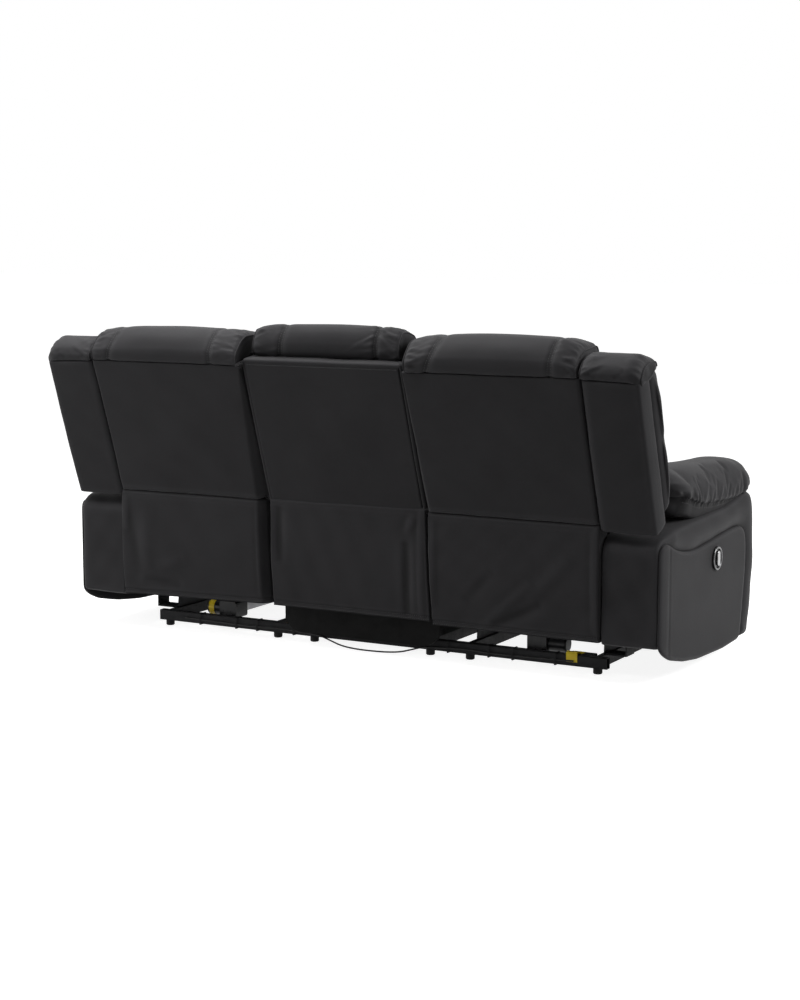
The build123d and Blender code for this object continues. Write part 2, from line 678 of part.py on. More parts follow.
LINK_STEP = MECH_PLATE + PLATE_EASE
REAR_LINK_OUT = PLATE_EASE - SEAT_PLATE_OUT
FRONT_LINK_OUT = REAR_LINK_OUT + LINK_STEP
EAR_OUT = FRONT_LINK_OUT + LINK_STEP
rear_links = []
front_links = []
ears = []
ear_holes = []
for side, line_x in zip((-1, 1), MECH_LINES):
    shank = LINK_STEP + PLATE_EASE
    knee = rivet(LINK_B, LINK_PIN, REAR_LINK_OUT + MECH_PLATE, shank, -side, line_x)
    rear_links.append(link(LINK_A, LINK_B, LINK_PIN, REAR_LINK_OUT, side, line_x, knee))
    toe = rivet(LINK_C, LINK_PIN, FRONT_LINK_OUT + MECH_PLATE, shank, -side, line_x)
    front_links.append(link(LINK_B, LINK_C, LINK_PIN, FRONT_LINK_OUT, side, line_x, toe))
    faces = sorted([line_x - side * EAR_OUT, line_x - side * (EAR_OUT + MECH_PLATE)])
    half = LINK_WIDTH / 2
    ear = [
        (FOOTREST_BACK, LINK_C[1] - half),
        (LINK_C[0], LINK_C[1] - half),
        (LINK_C[0], LINK_C[1] + half),
        (FOOTREST_BACK, LINK_C[1] + half),
    ]
    ears += [slab(ear, *faces), disc(LINK_C, half, *faces)]
    ear_holes.append(disc(LINK_C, LINK_PIN + PIVOT_EASE, *faces))
keep_pair(group(rear_links), "rear_links")
keep_pair(group(front_links), "front_links")

footrest_board = block(
    (END_SEAT_X - FOOTREST_HALF, END_SEAT_X + FOOTREST_HALF),
    (FOOTREST_BACK - FOOTREST_BOARD, FOOTREST_BACK),
    (FOOTREST_BOTTOM, FOOTREST_TOP),
)
pad_back = FOOTREST_BACK - FOOTREST_BOARD - SOFT_EASE
pad_front = pad_back - FOOTREST_PAD
footrest_corners = [
    (pad_back, FOOTREST_BOTTOM),
    (pad_front, FOOTREST_BOTTOM + COVER_EASE),
    (pad_front, FOOTREST_TOP - COVER_EASE),
    (pad_back, FOOTREST_TOP),
]
footrest_crowns = [0, FOOTREST_CROWN, 0, 0]
footrest_pad = padded(
    END_SEAT_X - FOOTREST_HALF, END_SEAT_X + FOOTREST_HALF, footrest_corners, footrest_crowns, COVER_EASE
)
keep_pair(group([fused([footrest_board] + ears, ear_holes), footrest_pad]), "footrest")

# Drive: motor and gearbox, track with its screw, travelling nut
gearbox_back = REAR_RAIL_FRONT - GEARBOX_STANDOFF
gearbox_y = (gearbox_back - GEARBOX_DEPTH, gearbox_back)
gearbox_z = (DRIVE_Z - GEARBOX_HEIGHT / 2, DRIVE_Z + GEARBOX_HEIGHT / 2)
gearbox_x = (END_SEAT_X - GEARBOX_WIDTH / 2, END_SEAT_X + GEARBOX_WIDTH / 2)
with BuildPart() as motor:
    add(block(gearbox_x, gearbox_y, gearbox_z))
    fillet(motor.edges().filter_by(Axis.Y), GEARBOX_ROUND)
    mount_x = (END_SEAT_X - MOUNT_HALF, END_SEAT_X + MOUNT_HALF)
    add(block(mount_x, (gearbox_back, REAR_RAIL_FRONT), (FOOT_HEIGHT + GEARBOX_ROUND, RAIL_TOP)))
    motor_axis = (gearbox_back - GEARBOX_DEPTH / 2, DRIVE_Z)
    add(disc(motor_axis, MOTOR_RADIUS, gearbox_x[1], gearbox_x[1] + MOTOR_LENGTH))
    fillet(motor.faces().sort_by(Axis.X)[-1].edges(), MOTOR_ROUND)
keep_both_sides(motor.part, "drive_motors")

track_x = (END_SEAT_X - TRACK_WIDTH / 2, END_SEAT_X + TRACK_WIDTH / 2)
track_y = (FRONT_RAIL_Y, gearbox_y[0])
track_z = (RAIL_TOP, RAIL_TOP + TRACK_HEIGHT)
bed = block(track_x, track_y, track_z)
trough = block(
    (track_x[0] + TRACK_WALL, track_x[1] - TRACK_WALL),
    track_y,
    (track_z[0] + TRACK_WALL, track_z[1]),
)
with BuildPart() as screw:
    with BuildSketch(Plane.XZ.offset(-gearbox_y[0])):
        with Locations((END_SEAT_X, DRIVE_Z)):
            Circle(SCREW_RADIUS)
    extrude(amount=gearbox_y[0] - FRONT_RAIL_Y)
keep_both_sides(group([fused([bed], [trough]), screw.part]), "drive_tracks")

nut_half = TRACK_WIDTH / 2 - TRACK_WALL - PLATE_EASE
with BuildPart() as nut:
    add(
        block(
            (END_SEAT_X - nut_half, END_SEAT_X + nut_half),
            (NUT_START - NUT_LENGTH / 2, NUT_START + NUT_LENGTH / 2),
            (track_z[0] + TRACK_WALL + PLATE_EASE, track_z[1] + NUT_LENGTH / 2),
        )
    )
    with BuildSketch(Plane.XZ.offset(-NUT_START - NUT_LENGTH / 2)):
        with Locations((END_SEAT_X, DRIVE_Z)):
            Circle(SCREW_RADIUS + PIVOT_EASE)
    extrude(amount=NUT_LENGTH, mode=Mode.SUBTRACT)
keep_pair(nut.part, "drive_nut")

supply_room = (-MECH_LINES[1] + SIDE_RAIL_WIDTH / 2, -gearbox_x[1] - MOTOR_LENGTH)
supply_mid = (supply_room[0] + supply_room[1]) / 2
supply_x = (supply_mid - SUPPLY_WIDTH / 2, supply_mid + SUPPLY_WIDTH / 2)
supply_y = (REAR_RAIL_FRONT - SUPPLY_DEPTH, REAR_RAIL_FRONT)
with BuildPart() as supply:
    add(block(supply_x, supply_y, (FOOT_HEIGHT, FOOT_HEIGHT + SUPPLY_HEIGHT)))
    fillet(supply.edges().filter_by(Axis.X), SUPPLY_ROUND)
keep(supply.part, "power_supply")

# Wiring tied along the rear rail, with a slack loop on the floor behind the centre seat
cable_y = REAR_RAIL_BACK + CABLE_EASE + CABLE_RADIUS
slack_route = [
    (180.0, cable_y, 24.0),
    (140.0, 178.0, 14.0),
    (95.0, 192.0, 5.0),
    (40.0, 208.0, 3.0),
    (-20.0, 213.0, 3.2),
    (-78.0, 205.0, 3.0),
    (-122.0, 190.0, 5.0),
    (-155.0, 178.0, 14.0),
    (-190.0, cable_y, 24.0),
]


def route_radii(route):
    radii = []
    for before, at, after in zip(route, route[1:], route[2:]):
        back = [b - a for a, b in zip(before, at)]
        ahead = [b - a for a, b in zip(at, after)]
        runs = (hypot(*back), hypot(*ahead))
        cosine = sum(a * b for a, b in zip(back, ahead)) / (runs[0] * runs[1])
        turn = atan2((1 - cosine**2) ** 0.5, cosine)
        radii.append(BEND_SHARE * min(runs) / tan(turn / 2))
    return radii


keep(tube(slack_route, route_radii(slack_route), CABLE_RADIUS), "slack_cable")

runs = []
for end, exit_point in ((CABLE_END_X, slack_route[0]), (-CABLE_END_X, slack_route[-1])):
    low_z = FOOT_HEIGHT + RAIL_HEIGHT / 3
    middle = (end + exit_point[0]) / 2
    held = [
        (end, cable_y, low_z + CABLE_SAG),
        (middle, cable_y, low_z),
        ((middle + exit_point[0]) / 2, cable_y, low_z + CABLE_SAG),
        exit_point,
    ]
    runs.append(tube(held, route_radii(held), CABLE_RADIUS))
keep(group(runs), "tied_cable")

ties_x = [MECH_LINES[0] + share * (CABLE_END_X - MECH_LINES[0]) for share in TIE_SHARES]
ties_x.append((CENTRE_RAIL_X + MECH_LINES[0]) / 2)
with BuildPart() as cable_ties:
    outer_y = (REAR_RAIL_FRONT - TIE_THICK, cable_y + CABLE_RADIUS + TIE_THICK)
    outer_z = (FOOT_HEIGHT - TIE_THICK, RAIL_TOP + TIE_THICK)
    for tie_x in ties_x + [-x for x in ties_x]:
        with BuildSketch(Plane.YZ.offset(tie_x - TIE_WIDTH / 2)):
            with Locations(((outer_y[0] + outer_y[1]) / 2, (outer_z[0] + outer_z[1]) / 2)):
                Rectangle(outer_y[1] - outer_y[0], outer_z[1] - outer_z[0])
                Rectangle(
                    outer_y[1] - outer_y[0] - 2 * TIE_THICK,
                    outer_z[1] - outer_z[0] - 2 * TIE_THICK,
                    mode=Mode.SUBTRACT,
                )
    extrude(amount=TIE_WIDTH)
keep(cable_ties.part, "cable_ties")


# Arms: hollow upholstered frame, padded outer panel, soft pad
def arm_outline():
    front_low = (ARM_FRONT + ARM_BULGE_LOW, ARM_BOTTOM)
    front_high = (ARM_FRONT + ARM_BULGE_HIGH, ARM_TOP - ARM_NOSE_DROP)
    nose = (ARM_FRONT + ARM_NOSE, ARM_TOP)
    nose_mid = (ARM_FRONT + 0.45 * ARM_NOSE, ARM_TOP - ARM_NOSE_DROP / 3)
    rear_high = (ARM_REAR, ARM_REAR_TOP - ARM_CORNER)
    rear_top = (ARM_REAR - ARM_CORNER, ARM_REAR_TOP)
    corner_mid = (ARM_REAR - 0.3 * ARM_CORNER, ARM_REAR_TOP - 0.3 * ARM_CORNER)
    rear_low = (ARM_REAR, ARM_REAR_BOTTOM)
    sweep_start = (ARM_REAR - ARM_SWEEP, ARM_BOTTOM)
    sweep_mid = (ARM_REAR - 0.43 * ARM_SWEEP, ARM_BOTTOM + 0.35 * (ARM_REAR_BOTTOM - ARM_BOTTOM))
    Line(rear_low, rear_high)
    ThreePointArc(rear_high, corner_mid, rear_top)
    Polyline(rear_top, (PAD_REAR, ARM_TOP - COVER_EASE), nose)
    ThreePointArc(nose, nose_mid, front_high)
    ThreePointArc(front_high, (ARM_FRONT, (ARM_TOP + ARM_BOTTOM) / 2), front_low)
    Line(front_low, sweep_start)
    ThreePointArc(sweep_start, sweep_mid, rear_low)


with BuildPart() as arm_frame:
    with BuildSketch(Plane.YZ.offset(ARM_INNER)):
        with BuildLine():
            arm_outline()
        make_face()
    extrude(amount=ARM_WIDTH)
    with BuildSketch(Plane.YZ.offset(ARM_INNER + ARM_WALL)):
        with BuildLine():
            arm_outline()
        make_face()
        offset(amount=-ARM_WALL)
    extrude(amount=ARM_WIDTH - 2 * ARM_WALL, mode=Mode.SUBTRACT)
keep_pair(arm_frame.part, "arm_frame")


# Outer panel: its upper edge is a slow wave that turns down into the front edge
def on_panel(back, down):
    depth = ARM_REAR - ARM_FRONT - PANEL_INSET
    rise = ARM_REAR_TOP - PANEL_DROP - ARM_BOTTOM + PANEL_INSET
    return (ARM_REAR - PANEL_INSET - back * depth, ARM_REAR_TOP - PANEL_DROP - down * rise)


panel_rear_low = on_panel(0, PANEL_REAR_DROP)
panel_sweep = on_panel(PANEL_SWEEP, 1)
with BuildPart() as arm_panel:
    with BuildSketch(Plane.YZ.offset(ARM_OUTER)) as panel_face:
        with BuildLine():
            Line(panel_rear_low, on_panel(*PANEL_WAVE[0]))
            Spline(*[on_panel(*point) for point in PANEL_WAVE])
            Line(on_panel(*PANEL_WAVE[-1]), panel_sweep)
            Spline(panel_sweep, panel_rear_low, tangents=[(1, 0), (0.5, 1)])
        make_face()
        corners = [panel_rear_low, on_panel(*PANEL_WAVE[0]), on_panel(*PANEL_WAVE[-1])]
        fillet([panel_face.vertices().sort_by_distance(c)[0] for c in corners], PANEL_CORNER)
    extrude(amount=PANEL_THICK)
    fillet(arm_panel.faces().sort_by(Axis.X)[-1].edges(), PANEL_ROUND)
keep_pair(arm_panel.part, "arm_outer_panel")

PAD_HALF = (ARM_WIDTH + PAD_OVERHANG) / 2
PAD_X = ARM_INNER + PAD_HALF - COVER_EASE
pad_seat = ARM_TOP + SOFT_EASE
with BuildPart() as arm_pad:
    for share, narrower, lift, drop in PAD_FORM:
        with BuildSketch(Plane.XZ.offset(-PAD_REAR - share * (PAD_FRONT - PAD_REAR))):
            sides = (PAD_X - PAD_HALF + narrower, PAD_X + PAD_HALF - narrower)
            low = pad_seat + lift
            high = PAD_TOP - drop
            with BuildLine():
                pad_corners = [(sides[0], low), (sides[0], high), (sides[1], high), (sides[1], low)]
                crowned_outline(pad_corners, [COVER_EASE, PAD_CROWN, PAD_CROWN / 2, 0])
            make_face()
    loft()
keep_pair(arm_pad.part, "arm_pad")

# Control: bezel ring, face with pivot lugs, rocker
control_x = ARM_OUTER + PANEL_THICK
control = (CONTROL_Y, CONTROL_Z)
with BuildPart() as bezel:
    with BuildSketch(Plane.YZ.offset(control_x)):
        with Locations(control):
            Circle(BEZEL_RADIUS)
            Circle(BEZEL_INNER, mode=Mode.SUBTRACT)
    extrude(amount=BEZEL_HEIGHT)
    fillet(bezel.faces().sort_by(Axis.X)[-1].edges(), BEZEL_ROUND)
keep_both_sides(bezel.part, "control_bezels")

face_x = control_x + FACE_THICK
rocker_x = face_x + ROCKER_LIFT
pin_x = rocker_x + ROCKER_THICK / 2
lug_y = ROCKER_WIDTH / 2 + PLATE_EASE
with BuildPart() as control_face:
    add(disc(control, BEZEL_INNER, control_x, face_x))
    with BuildSketch(Plane.YZ.offset(face_x)):
        lug_mid = lug_y + ROCKER_LUG / 2
        with Locations((CONTROL_Y - lug_mid, CONTROL_Z), (CONTROL_Y + lug_mid, CONTROL_Z)):
            Rectangle(ROCKER_LUG, 3 * ROCKER_LUG)
    extrude(amount=ROCKER_LIFT + ROCKER_THICK)
    with BuildSketch(Plane.XZ.offset(-CONTROL_Y - BEZEL_INNER)):
        with Locations((pin_x, CONTROL_Z)):
            Circle(ROCKER_PIN + PIVOT_EASE)
    extrude(amount=2 * BEZEL_INNER, mode=Mode.SUBTRACT)
keep_both_sides(control_face.part, "control_faces")

with BuildPart() as rocker:
    with BuildSketch(Plane.YZ.offset(rocker_x)):
        with Locations(control):
            SlotOverall(ROCKER_HEIGHT, ROCKER_WIDTH, rotation=90)
    extrude(amount=ROCKER_THICK)
    fillet(rocker.faces().sort_by(Axis.X)[-1].edges(), ROCKER_ROUND)
    with BuildSketch(Plane.XZ.offset(-CONTROL_Y - lug_y - ROCKER_LUG)):
        with Locations((pin_x, CONTROL_Z)):
            Circle(ROCKER_PIN)
    extrude(amount=2 * (lug_y + ROCKER_LUG))
keep_pair(rocker.part, "control_rocker")

# Centre seat: boards on the base, front panel, cushion
post_y = on_back(PANEL_FRONT, -CENTRE_PANEL_DROP)[0]
post_top = on_back(PANEL_FRONT - POST_DEPTH / cos(LEAN), -CENTRE_PANEL_DROP)[1]
cleat_z = (SEAT_BOARD_BOTTOM - SEAT_BOARD, SEAT_BOARD_TOP - SEAT_BOARD)
centre_side_y = (SEAT_FRONT + SEAT_BOARD + GLUE_LINE, CENTRE_REAR - CENTRE_BOARD - GLUE_LINE)
centre_boards = []
for middle_x in (-CENTRE_RAIL_X, CENTRE_RAIL_X):
    board_x = (middle_x - SIDE_RAIL_WIDTH / 2, middle_x + SIDE_RAIL_WIDTH / 2)
    centre_boards.append(block(board_x, centre_side_y, (RAIL_TOP, SEAT_BOARD_TOP)))
    post_x = (middle_x - POST_WIDTH / 2, middle_x + POST_WIDTH / 2)
    post = block(post_x, (post_y, post_y + POST_DEPTH), (SEAT_BOARD_BOTTOM / 2, post_top))
    cleat = block(post_x, (CENTRE_REAR + GLUE_LINE, post_y), cleat_z)
    centre_boards.append(fused([post, cleat]))
front_board_x = (SEAT_BOARD - SEAT_HALF, SEAT_HALF - SEAT_BOARD)
front_board_y = (SEAT_FRONT, SEAT_FRONT + SEAT_BOARD)
centre_boards.append(block(front_board_x, front_board_y, (FOOTREST_BOTTOM, SEAT_BOARD_TOP)))
deck_x = (COVER_EASE - SEAT_HALF, SEAT_HALF - COVER_EASE)
deck_z = (SEAT_BOARD_TOP + GLUE_LINE, SEAT_BOARD_TOP + SPRING_WIRE)
centre_boards.append(block(deck_x, (SEAT_FRONT, CENTRE_REAR), deck_z))
rear_board_y = (CENTRE_REAR - CENTRE_BOARD, CENTRE_REAR)
with BuildPart() as rear_board:
    add(block((-SEAT_HALF, SEAT_HALF), rear_board_y, (CENTRE_BOARD_DROP, SEAT_BOARD_TOP)))
    fillet(rear_board.edges().filter_by(Axis.Y).group_by(Axis.Z)[0], CENTRE_BOARD_ROUND)
centre_boards.append(rear_board.part)
keep(group(centre_boards), "centre_seat_frame")

centre_panel_corners = [
    (SEAT_FRONT - SOFT_EASE, FOOTREST_BOTTOM),
    (pad_front, FOOTREST_BOTTOM + COVER_EASE),
    (pad_front, FOOTREST_TOP - COVER_EASE),
    (SEAT_FRONT - SOFT_EASE, FOOTREST_TOP),
]
keep(
    padded(-FOOTREST_HALF, FOOTREST_HALF, centre_panel_corners, footrest_crowns, COVER_EASE),
    "centre_front_panel",
)

centre_cushion_front = SEAT_FRONT + COVER_EASE + SOFT_EASE
centre_cushion_rear = CENTRE_REAR - CENTRE_BOARD
centre_cushion = padded(
    -CUSHION_HALF,
    CUSHION_HALF,
    [
        (centre_cushion_front, CUSHION_BOTTOM),
        (centre_cushion_front, CENTRE_CUSHION_TOP),
        (centre_cushion_rear, CENTRE_CUSHION_TOP),
        (centre_cushion_rear, CUSHION_BOTTOM),
    ],
    [COVER_EASE, CUSHION_CROWN, 0, 0],
    CUSHION_DRAW,
)
keep(centre_cushion, "centre_seat_cushion")

# Centre back: fixed rear panel with its hinge brackets, and the part that folds down
centre_panel_up = (-CENTRE_PANEL_DROP, CENTRE_PANEL_RISE)
TABLE_BACK = PANEL_FRONT + TABLE_GAP
TABLE_FACE = TABLE_BACK + TABLE_BOARD
keep(
    back_slab((CENTRE_SET_BACK, PANEL_FRONT), centre_panel_up, -SEAT_HALF, SEAT_HALF, CENTRE_PANEL_ROUND),
    "centre_back_panel",
)
panel_rear = on_back(CENTRE_SET_BACK, 0)
centre_cloth_top = (panel_rear[0] + CLOTH_THICK + EASE, panel_rear[1])
keep(hanging_cloth(-SEAT_HALF + COVER_EASE, SEAT_HALF - COVER_EASE, centre_cloth_top), "centre_back_flap")

hinge_point = on_back(*TABLE_HINGE)
CHEEK_OUT = TABLE_HALF
HINGE_PLATE = CHEEK_OUT + COVER_EASE
cheek_front = TABLE_HINGE[0] + 2.5 * HINGE_RADIUS
hinge_half = 2 * HINGE_RADIUS
hinge_faces = (HINGE_PLATE, HINGE_PLATE + MECH_PLATE)
hinge_arm = back_slab(
    (PANEL_FRONT, TABLE_HINGE[0]), (TABLE_HINGE[1] - hinge_half, TABLE_HINGE[1] + hinge_half), *hinge_faces
)
hinge_solids = [
    hinge_arm,
    disc(hinge_point, hinge_half, *hinge_faces),
    disc(hinge_point, HINGE_RADIUS, CHEEK_OUT - CHEEK_WIDTH, HINGE_PLATE),
]
keep_both_sides(fused(hinge_solids), "table_hinges")

table_up = (COVER_EASE, TABLE_RISE)
cheeks = [
    back_slab((TABLE_FACE, cheek_front), (COVER_EASE, CHEEK_RISE), TABLE_HALF - CHEEK_WIDTH, TABLE_HALF),
    back_slab((TABLE_FACE, cheek_front), (COVER_EASE, CHEEK_RISE), -TABLE_HALF, CHEEK_WIDTH - TABLE_HALF),
]
hinge_hole = disc(hinge_point, HINGE_RADIUS + PIVOT_EASE, -TABLE_HALF, TABLE_HALF)
table_board = back_slab((TABLE_BACK, TABLE_FACE), table_up, -TABLE_HALF, TABLE_HALF)
keep(fused([table_board] + cheeks, [hinge_hole]), "table_board")

pad_corners = [
    (TABLE_FACE + SOFT_EASE, COVER_EASE),
    (TABLE_FACE + SOFT_EASE, BACK_RISE - SOFT_EASE),
    (TABLE_FACE + TABLE_PAD, BACK_RISE - SOFT_EASE),
    (TABLE_FACE + TABLE_PAD, COVER_EASE),
]
table_corners = [on_back(*c) for c in pad_corners]
table_pad = padded(-TABLE_HALF, TABLE_HALF, table_corners, [0, 0, COVER_EASE, 0], PILLOW_DRAW)
notch_up = (0, CHEEK_RISE + EASE)
notch_x = TABLE_HALF - CHEEK_WIDTH - EASE
notches = [
    back_slab((TABLE_BACK, cheek_front + EASE), notch_up, notch_x, SEAT_HALF),
    back_slab((TABLE_BACK, cheek_front + EASE), notch_up, -SEAT_HALF, -notch_x),
]
keep(fused([table_pad], notches), "table_cushion")

centre_pillow = [
    (PANEL_FRONT - CENTRE_PILLOW_BACK, CENTRE_PANEL_RISE + COVER_EASE + EASE),
    (PANEL_FRONT, BACK_RISE + PILLOW_RISE - PILLOW_TILT / 2),
    (PANEL_FRONT + CENTRE_PILLOW_FRONT, BACK_RISE + PILLOW_RISE + PILLOW_TILT / 2),
    (TABLE_FACE + TABLE_PAD - CENTRE_PILLOW_BACK, BACK_RISE + SOFT_EASE),
]
keep(
    padded(
        -TABLE_HALF,
        TABLE_HALF,
        [on_back(*c) for c in centre_pillow],
        [COVER_EASE, PILLOW_CROWN, COVER_EASE, 0],
        PILLOW_DRAW,
    ),
    "centre_head_pillow",
)
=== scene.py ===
import bmesh
import bpy
import math
import numpy as np
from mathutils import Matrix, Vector


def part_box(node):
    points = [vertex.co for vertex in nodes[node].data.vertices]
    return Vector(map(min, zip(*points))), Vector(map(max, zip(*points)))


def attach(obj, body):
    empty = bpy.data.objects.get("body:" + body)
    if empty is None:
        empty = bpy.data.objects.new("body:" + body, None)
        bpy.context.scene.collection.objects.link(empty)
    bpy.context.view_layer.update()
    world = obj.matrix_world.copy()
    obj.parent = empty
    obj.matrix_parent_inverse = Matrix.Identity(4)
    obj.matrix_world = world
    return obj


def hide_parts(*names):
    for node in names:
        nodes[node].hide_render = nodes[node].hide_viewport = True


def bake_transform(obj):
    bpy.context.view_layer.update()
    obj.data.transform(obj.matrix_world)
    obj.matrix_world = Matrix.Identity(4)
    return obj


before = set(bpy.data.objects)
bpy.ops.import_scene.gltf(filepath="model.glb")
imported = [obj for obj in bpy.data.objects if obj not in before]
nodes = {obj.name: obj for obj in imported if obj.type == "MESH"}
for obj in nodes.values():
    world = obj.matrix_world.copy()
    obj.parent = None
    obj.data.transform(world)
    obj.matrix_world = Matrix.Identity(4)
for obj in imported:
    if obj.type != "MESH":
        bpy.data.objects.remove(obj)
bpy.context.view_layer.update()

# Studio: a pale floor under an even white surround. A broad soft lamp hangs above the sofa's left
# half, another stands off its right end, and a weak one fills in the rear from the left.
AMBIENT, FLOOR_TONE, FLOOR_GLOW, FLOOR_REACH = 0.275, 0.44, 0.89, 40
CAMERA_PLACE, CAMERA_DIP, CAMERA_TURN, CAMERA_LENS = (-3.0899, 5.5600, 1.3099), 7.69, 208.94, 72.5
scene = bpy.context.scene
scene.view_settings.view_transform = "Standard"


def join(tree, node, inputs):
    """Each input of a node is joined to a socket, or given a value."""
    for socket, source in inputs.items():
        if isinstance(source, bpy.types.NodeSocket):
            tree.links.new(source, node.inputs[socket])
        else:
            node.inputs[socket].default_value = source


def add_node(tree, kind, inputs=None, **settings):
    """A node with its settings and inputs, given as its outputs."""
    node = tree.nodes.new(kind)
    for setting, value in settings.items():
        setattr(node, setting, value)
    join(tree, node, inputs or {})
    return node.outputs


def new_material(name):
    material = bpy.data.materials.new(name)
    material.use_nodes = True
    tree = material.node_tree
    return material, tree, tree.nodes["Principled BSDF"]


def seen_white(tree):
    """Camera, glossy and transmission rays added up, capped at one."""
    path = add_node(tree, "ShaderNodeLightPath")
    seen = path["Is Camera Ray"]
    for ray in ("Is Glossy Ray", "Is Transmission Ray"):
        seen = add_node(tree, "ShaderNodeMath", {0: seen, 1: path[ray]}, operation="MAXIMUM")[0]
    return seen


world = bpy.data.worlds.new("studio")
scene.world = world
world.use_nodes = True
tree = world.node_tree
tree.nodes.clear()
white = add_node(tree, "ShaderNodeBackground", {"Color": (1, 1, 1, 1)})
ambient = add_node(tree, "ShaderNodeBackground", {"Color": (1.0, 0.99, 0.98, 1), "Strength": AMBIENT})
choose = add_node(tree, "ShaderNodeMixShader", {0: seen_white(tree), 1: ambient[0], 2: white[0]})
add_node(tree, "ShaderNodeOutputWorld", {0: choose[0]})

floor_mesh = bpy.data.meshes.new("studio_floor")
floor_corners = [(x * FLOOR_REACH, y * FLOOR_REACH, 0) for x, y in ((-1, -1), (1, -1), (1, 1), (-1, 1))]
floor_mesh.from_pydata(floor_corners, [], [(0, 1, 2, 3)])
studio_floor = bpy.data.objects.new("studio_floor", floor_mesh)
scene.collection.objects.link(studio_floor)
floor_finish, tree, shader = new_material("studio_floor")
glow = add_node(tree, "ShaderNodeMath", {0: seen_white(tree), 1: FLOOR_GLOW}, operation="MULTIPLY")
join(tree, shader, {
    "Base Color": (FLOOR_TONE, FLOOR_TONE, FLOOR_TONE, 1), "Roughness": 0.9, "Specular IOR Level": 0.1,
    "Emission Color": (1, 1, 1, 1), "Emission Strength": glow[0],
})
floor_mesh.materials.append(floor_finish)


def soft_lamp(name, place, aim, size, power):
    lamp = bpy.data.lights.new(name, "AREA")
    lamp.shape = "RECTANGLE"
    lamp.size, lamp.size_y = size
    lamp.energy = power
    holder = bpy.data.objects.new(name, lamp)
    scene.collection.objects.link(holder)
    holder.location = place
    holder.rotation_euler = (Vector(aim) - Vector(place)).to_track_quat("-Z", "Y").to_euler()


soft_lamp("overhead_lamp", (1.1, 0.8, 3.3), (0.1, 0.1, 0.7), (3.0, 2.4), 250)
soft_lamp("end_lamp", (-3.9, -1.0, 2.9), (-0.9, 0, 0.7), (2.2, 2.2), 225)
soft_lamp("fill_lamp", (2.6, 2.2, 1.0), (0.6, 0.3, 0.7), (1.2, 1.2), 27)

camera = bpy.data.objects.new("camera", bpy.data.cameras.new("camera"))
scene.collection.objects.link(camera)
camera.location = CAMERA_PLACE
camera.rotation_euler = (math.radians(90 - CAMERA_DIP), 0, math.radians(CAMERA_TURN))
camera.data.sensor_width, camera.data.lens = 36, CAMERA_LENS
scene.camera = camera


# Base frame: square steel tube, welded and powder coated black, on round plastic feet.
# Angle brackets bolted to its ends carry the arms.
def noise(tree, place, scale, detail, low, high):
    """Soft noise, spread between two values."""
    cloud = add_node(tree, "ShaderNodeTexNoise", {"Vector": place, "Scale": scale, "Detail": detail})
    spread = {"Value": cloud["Fac"], "From Min": 0.3, "From Max": 0.7, "To Min": low, "To Max": high}
    return add_node(tree, "ShaderNodeMapRange", spread)["Result"]


def bump(tree, height, distance, strength):
    relief = {"Height": height, "Distance": distance, "Strength": strength}
    return add_node(tree, "ShaderNodeBump", relief)["Normal"]


def coated(name, colour, other, roughness, metallic, grain, depth, shine=0.5):
    """A hard finish: colour drifts to other in soft patches, over a fine grain."""
    material, tree, shader = new_material(name)
    place = add_node(tree, "ShaderNodeTexCoord")["Object"]
    tints = {0: noise(tree, place, 14, 5, 0, 1), 6: (*colour, 1), 7: (*other, 1)}
    join(tree, shader, {
        "Metallic": metallic, "Specular IOR Level": shine,
        "Base Color": add_node(tree, "ShaderNodeMix", tints, data_type="RGBA")[2],
        "Roughness": noise(tree, place, 60, 3, roughness - 0.07, roughness + 0.09),
        "Normal": bump(tree, noise(tree, place, grain, 2, 0, 1), depth, 0.5),
    })
    return material


def paint(material, *names):
    for name in names:
        for slot in nodes[name].material_slots:
            slot.material = material


powder_coat = coated(
    "powder_coat", (0.012, 0.012, 0.013), (0.022, 0.022, 0.023), 0.55, 0.0, 900, 0.0004, 0.10
)
black_plastic = coated(
    "black_plastic", (0.012, 0.012, 0.012), (0.018, 0.018, 0.019), 0.58, 0.0, 1600, 0.0002, 0.12
)
paint(powder_coat, "cross_rails", "side_rails", "arm_brackets")
paint(black_plastic, "floor_feet")

# Wiring: a five-millimetre black cable joins the two motors. It is tied along the rear rail,
# and behind the centre seat its slack lies in a loop on the floor.
CABLE = 0.005
SLACK_ROUTE = [
    (0.180, 0.172, 0.024), (0.140, 0.178, 0.014), (0.095, 0.192, 0.005), (0.040, 0.208, 0.003),
    (-0.020, 0.213, 0.0032), (-0.078, 0.205, 0.003), (-0.122, 0.190, 0.005), (-0.155, 0.178, 0.014),
    (-0.190, 0.172, 0.024),
]
cable_sheath = coated(
    "cable_sheath", (0.010, 0.010, 0.010), (0.016, 0.016, 0.016), 0.5, 0.0, 1200, 0.0001, 0.2
)
paint(cable_sheath, "tied_cable")
paint(black_plastic, "cable_ties")
slack_line = bpy.data.curves.new("slack_cable_loop", "CURVE")
slack_line.dimensions = "3D"
spline = slack_line.splines.new("NURBS")
spline.points.add(len(SLACK_ROUTE) - 1)
for point, place in zip(spline.points, SLACK_ROUTE):
    point.co = (*place, 1)
spline.order_u = 3
spline.use_endpoint_u = True
spline.resolution_u = 10
slack_line.bevel_depth = CABLE / 2
slack_line.bevel_resolution = 3
slack_line.materials.append(cable_sheath)
slack_loop = bpy.data.objects.new("slack_cable_loop", slack_line)
scene.collection.objects.link(slack_loop)
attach(slack_loop, "base")
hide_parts("slack_cable")

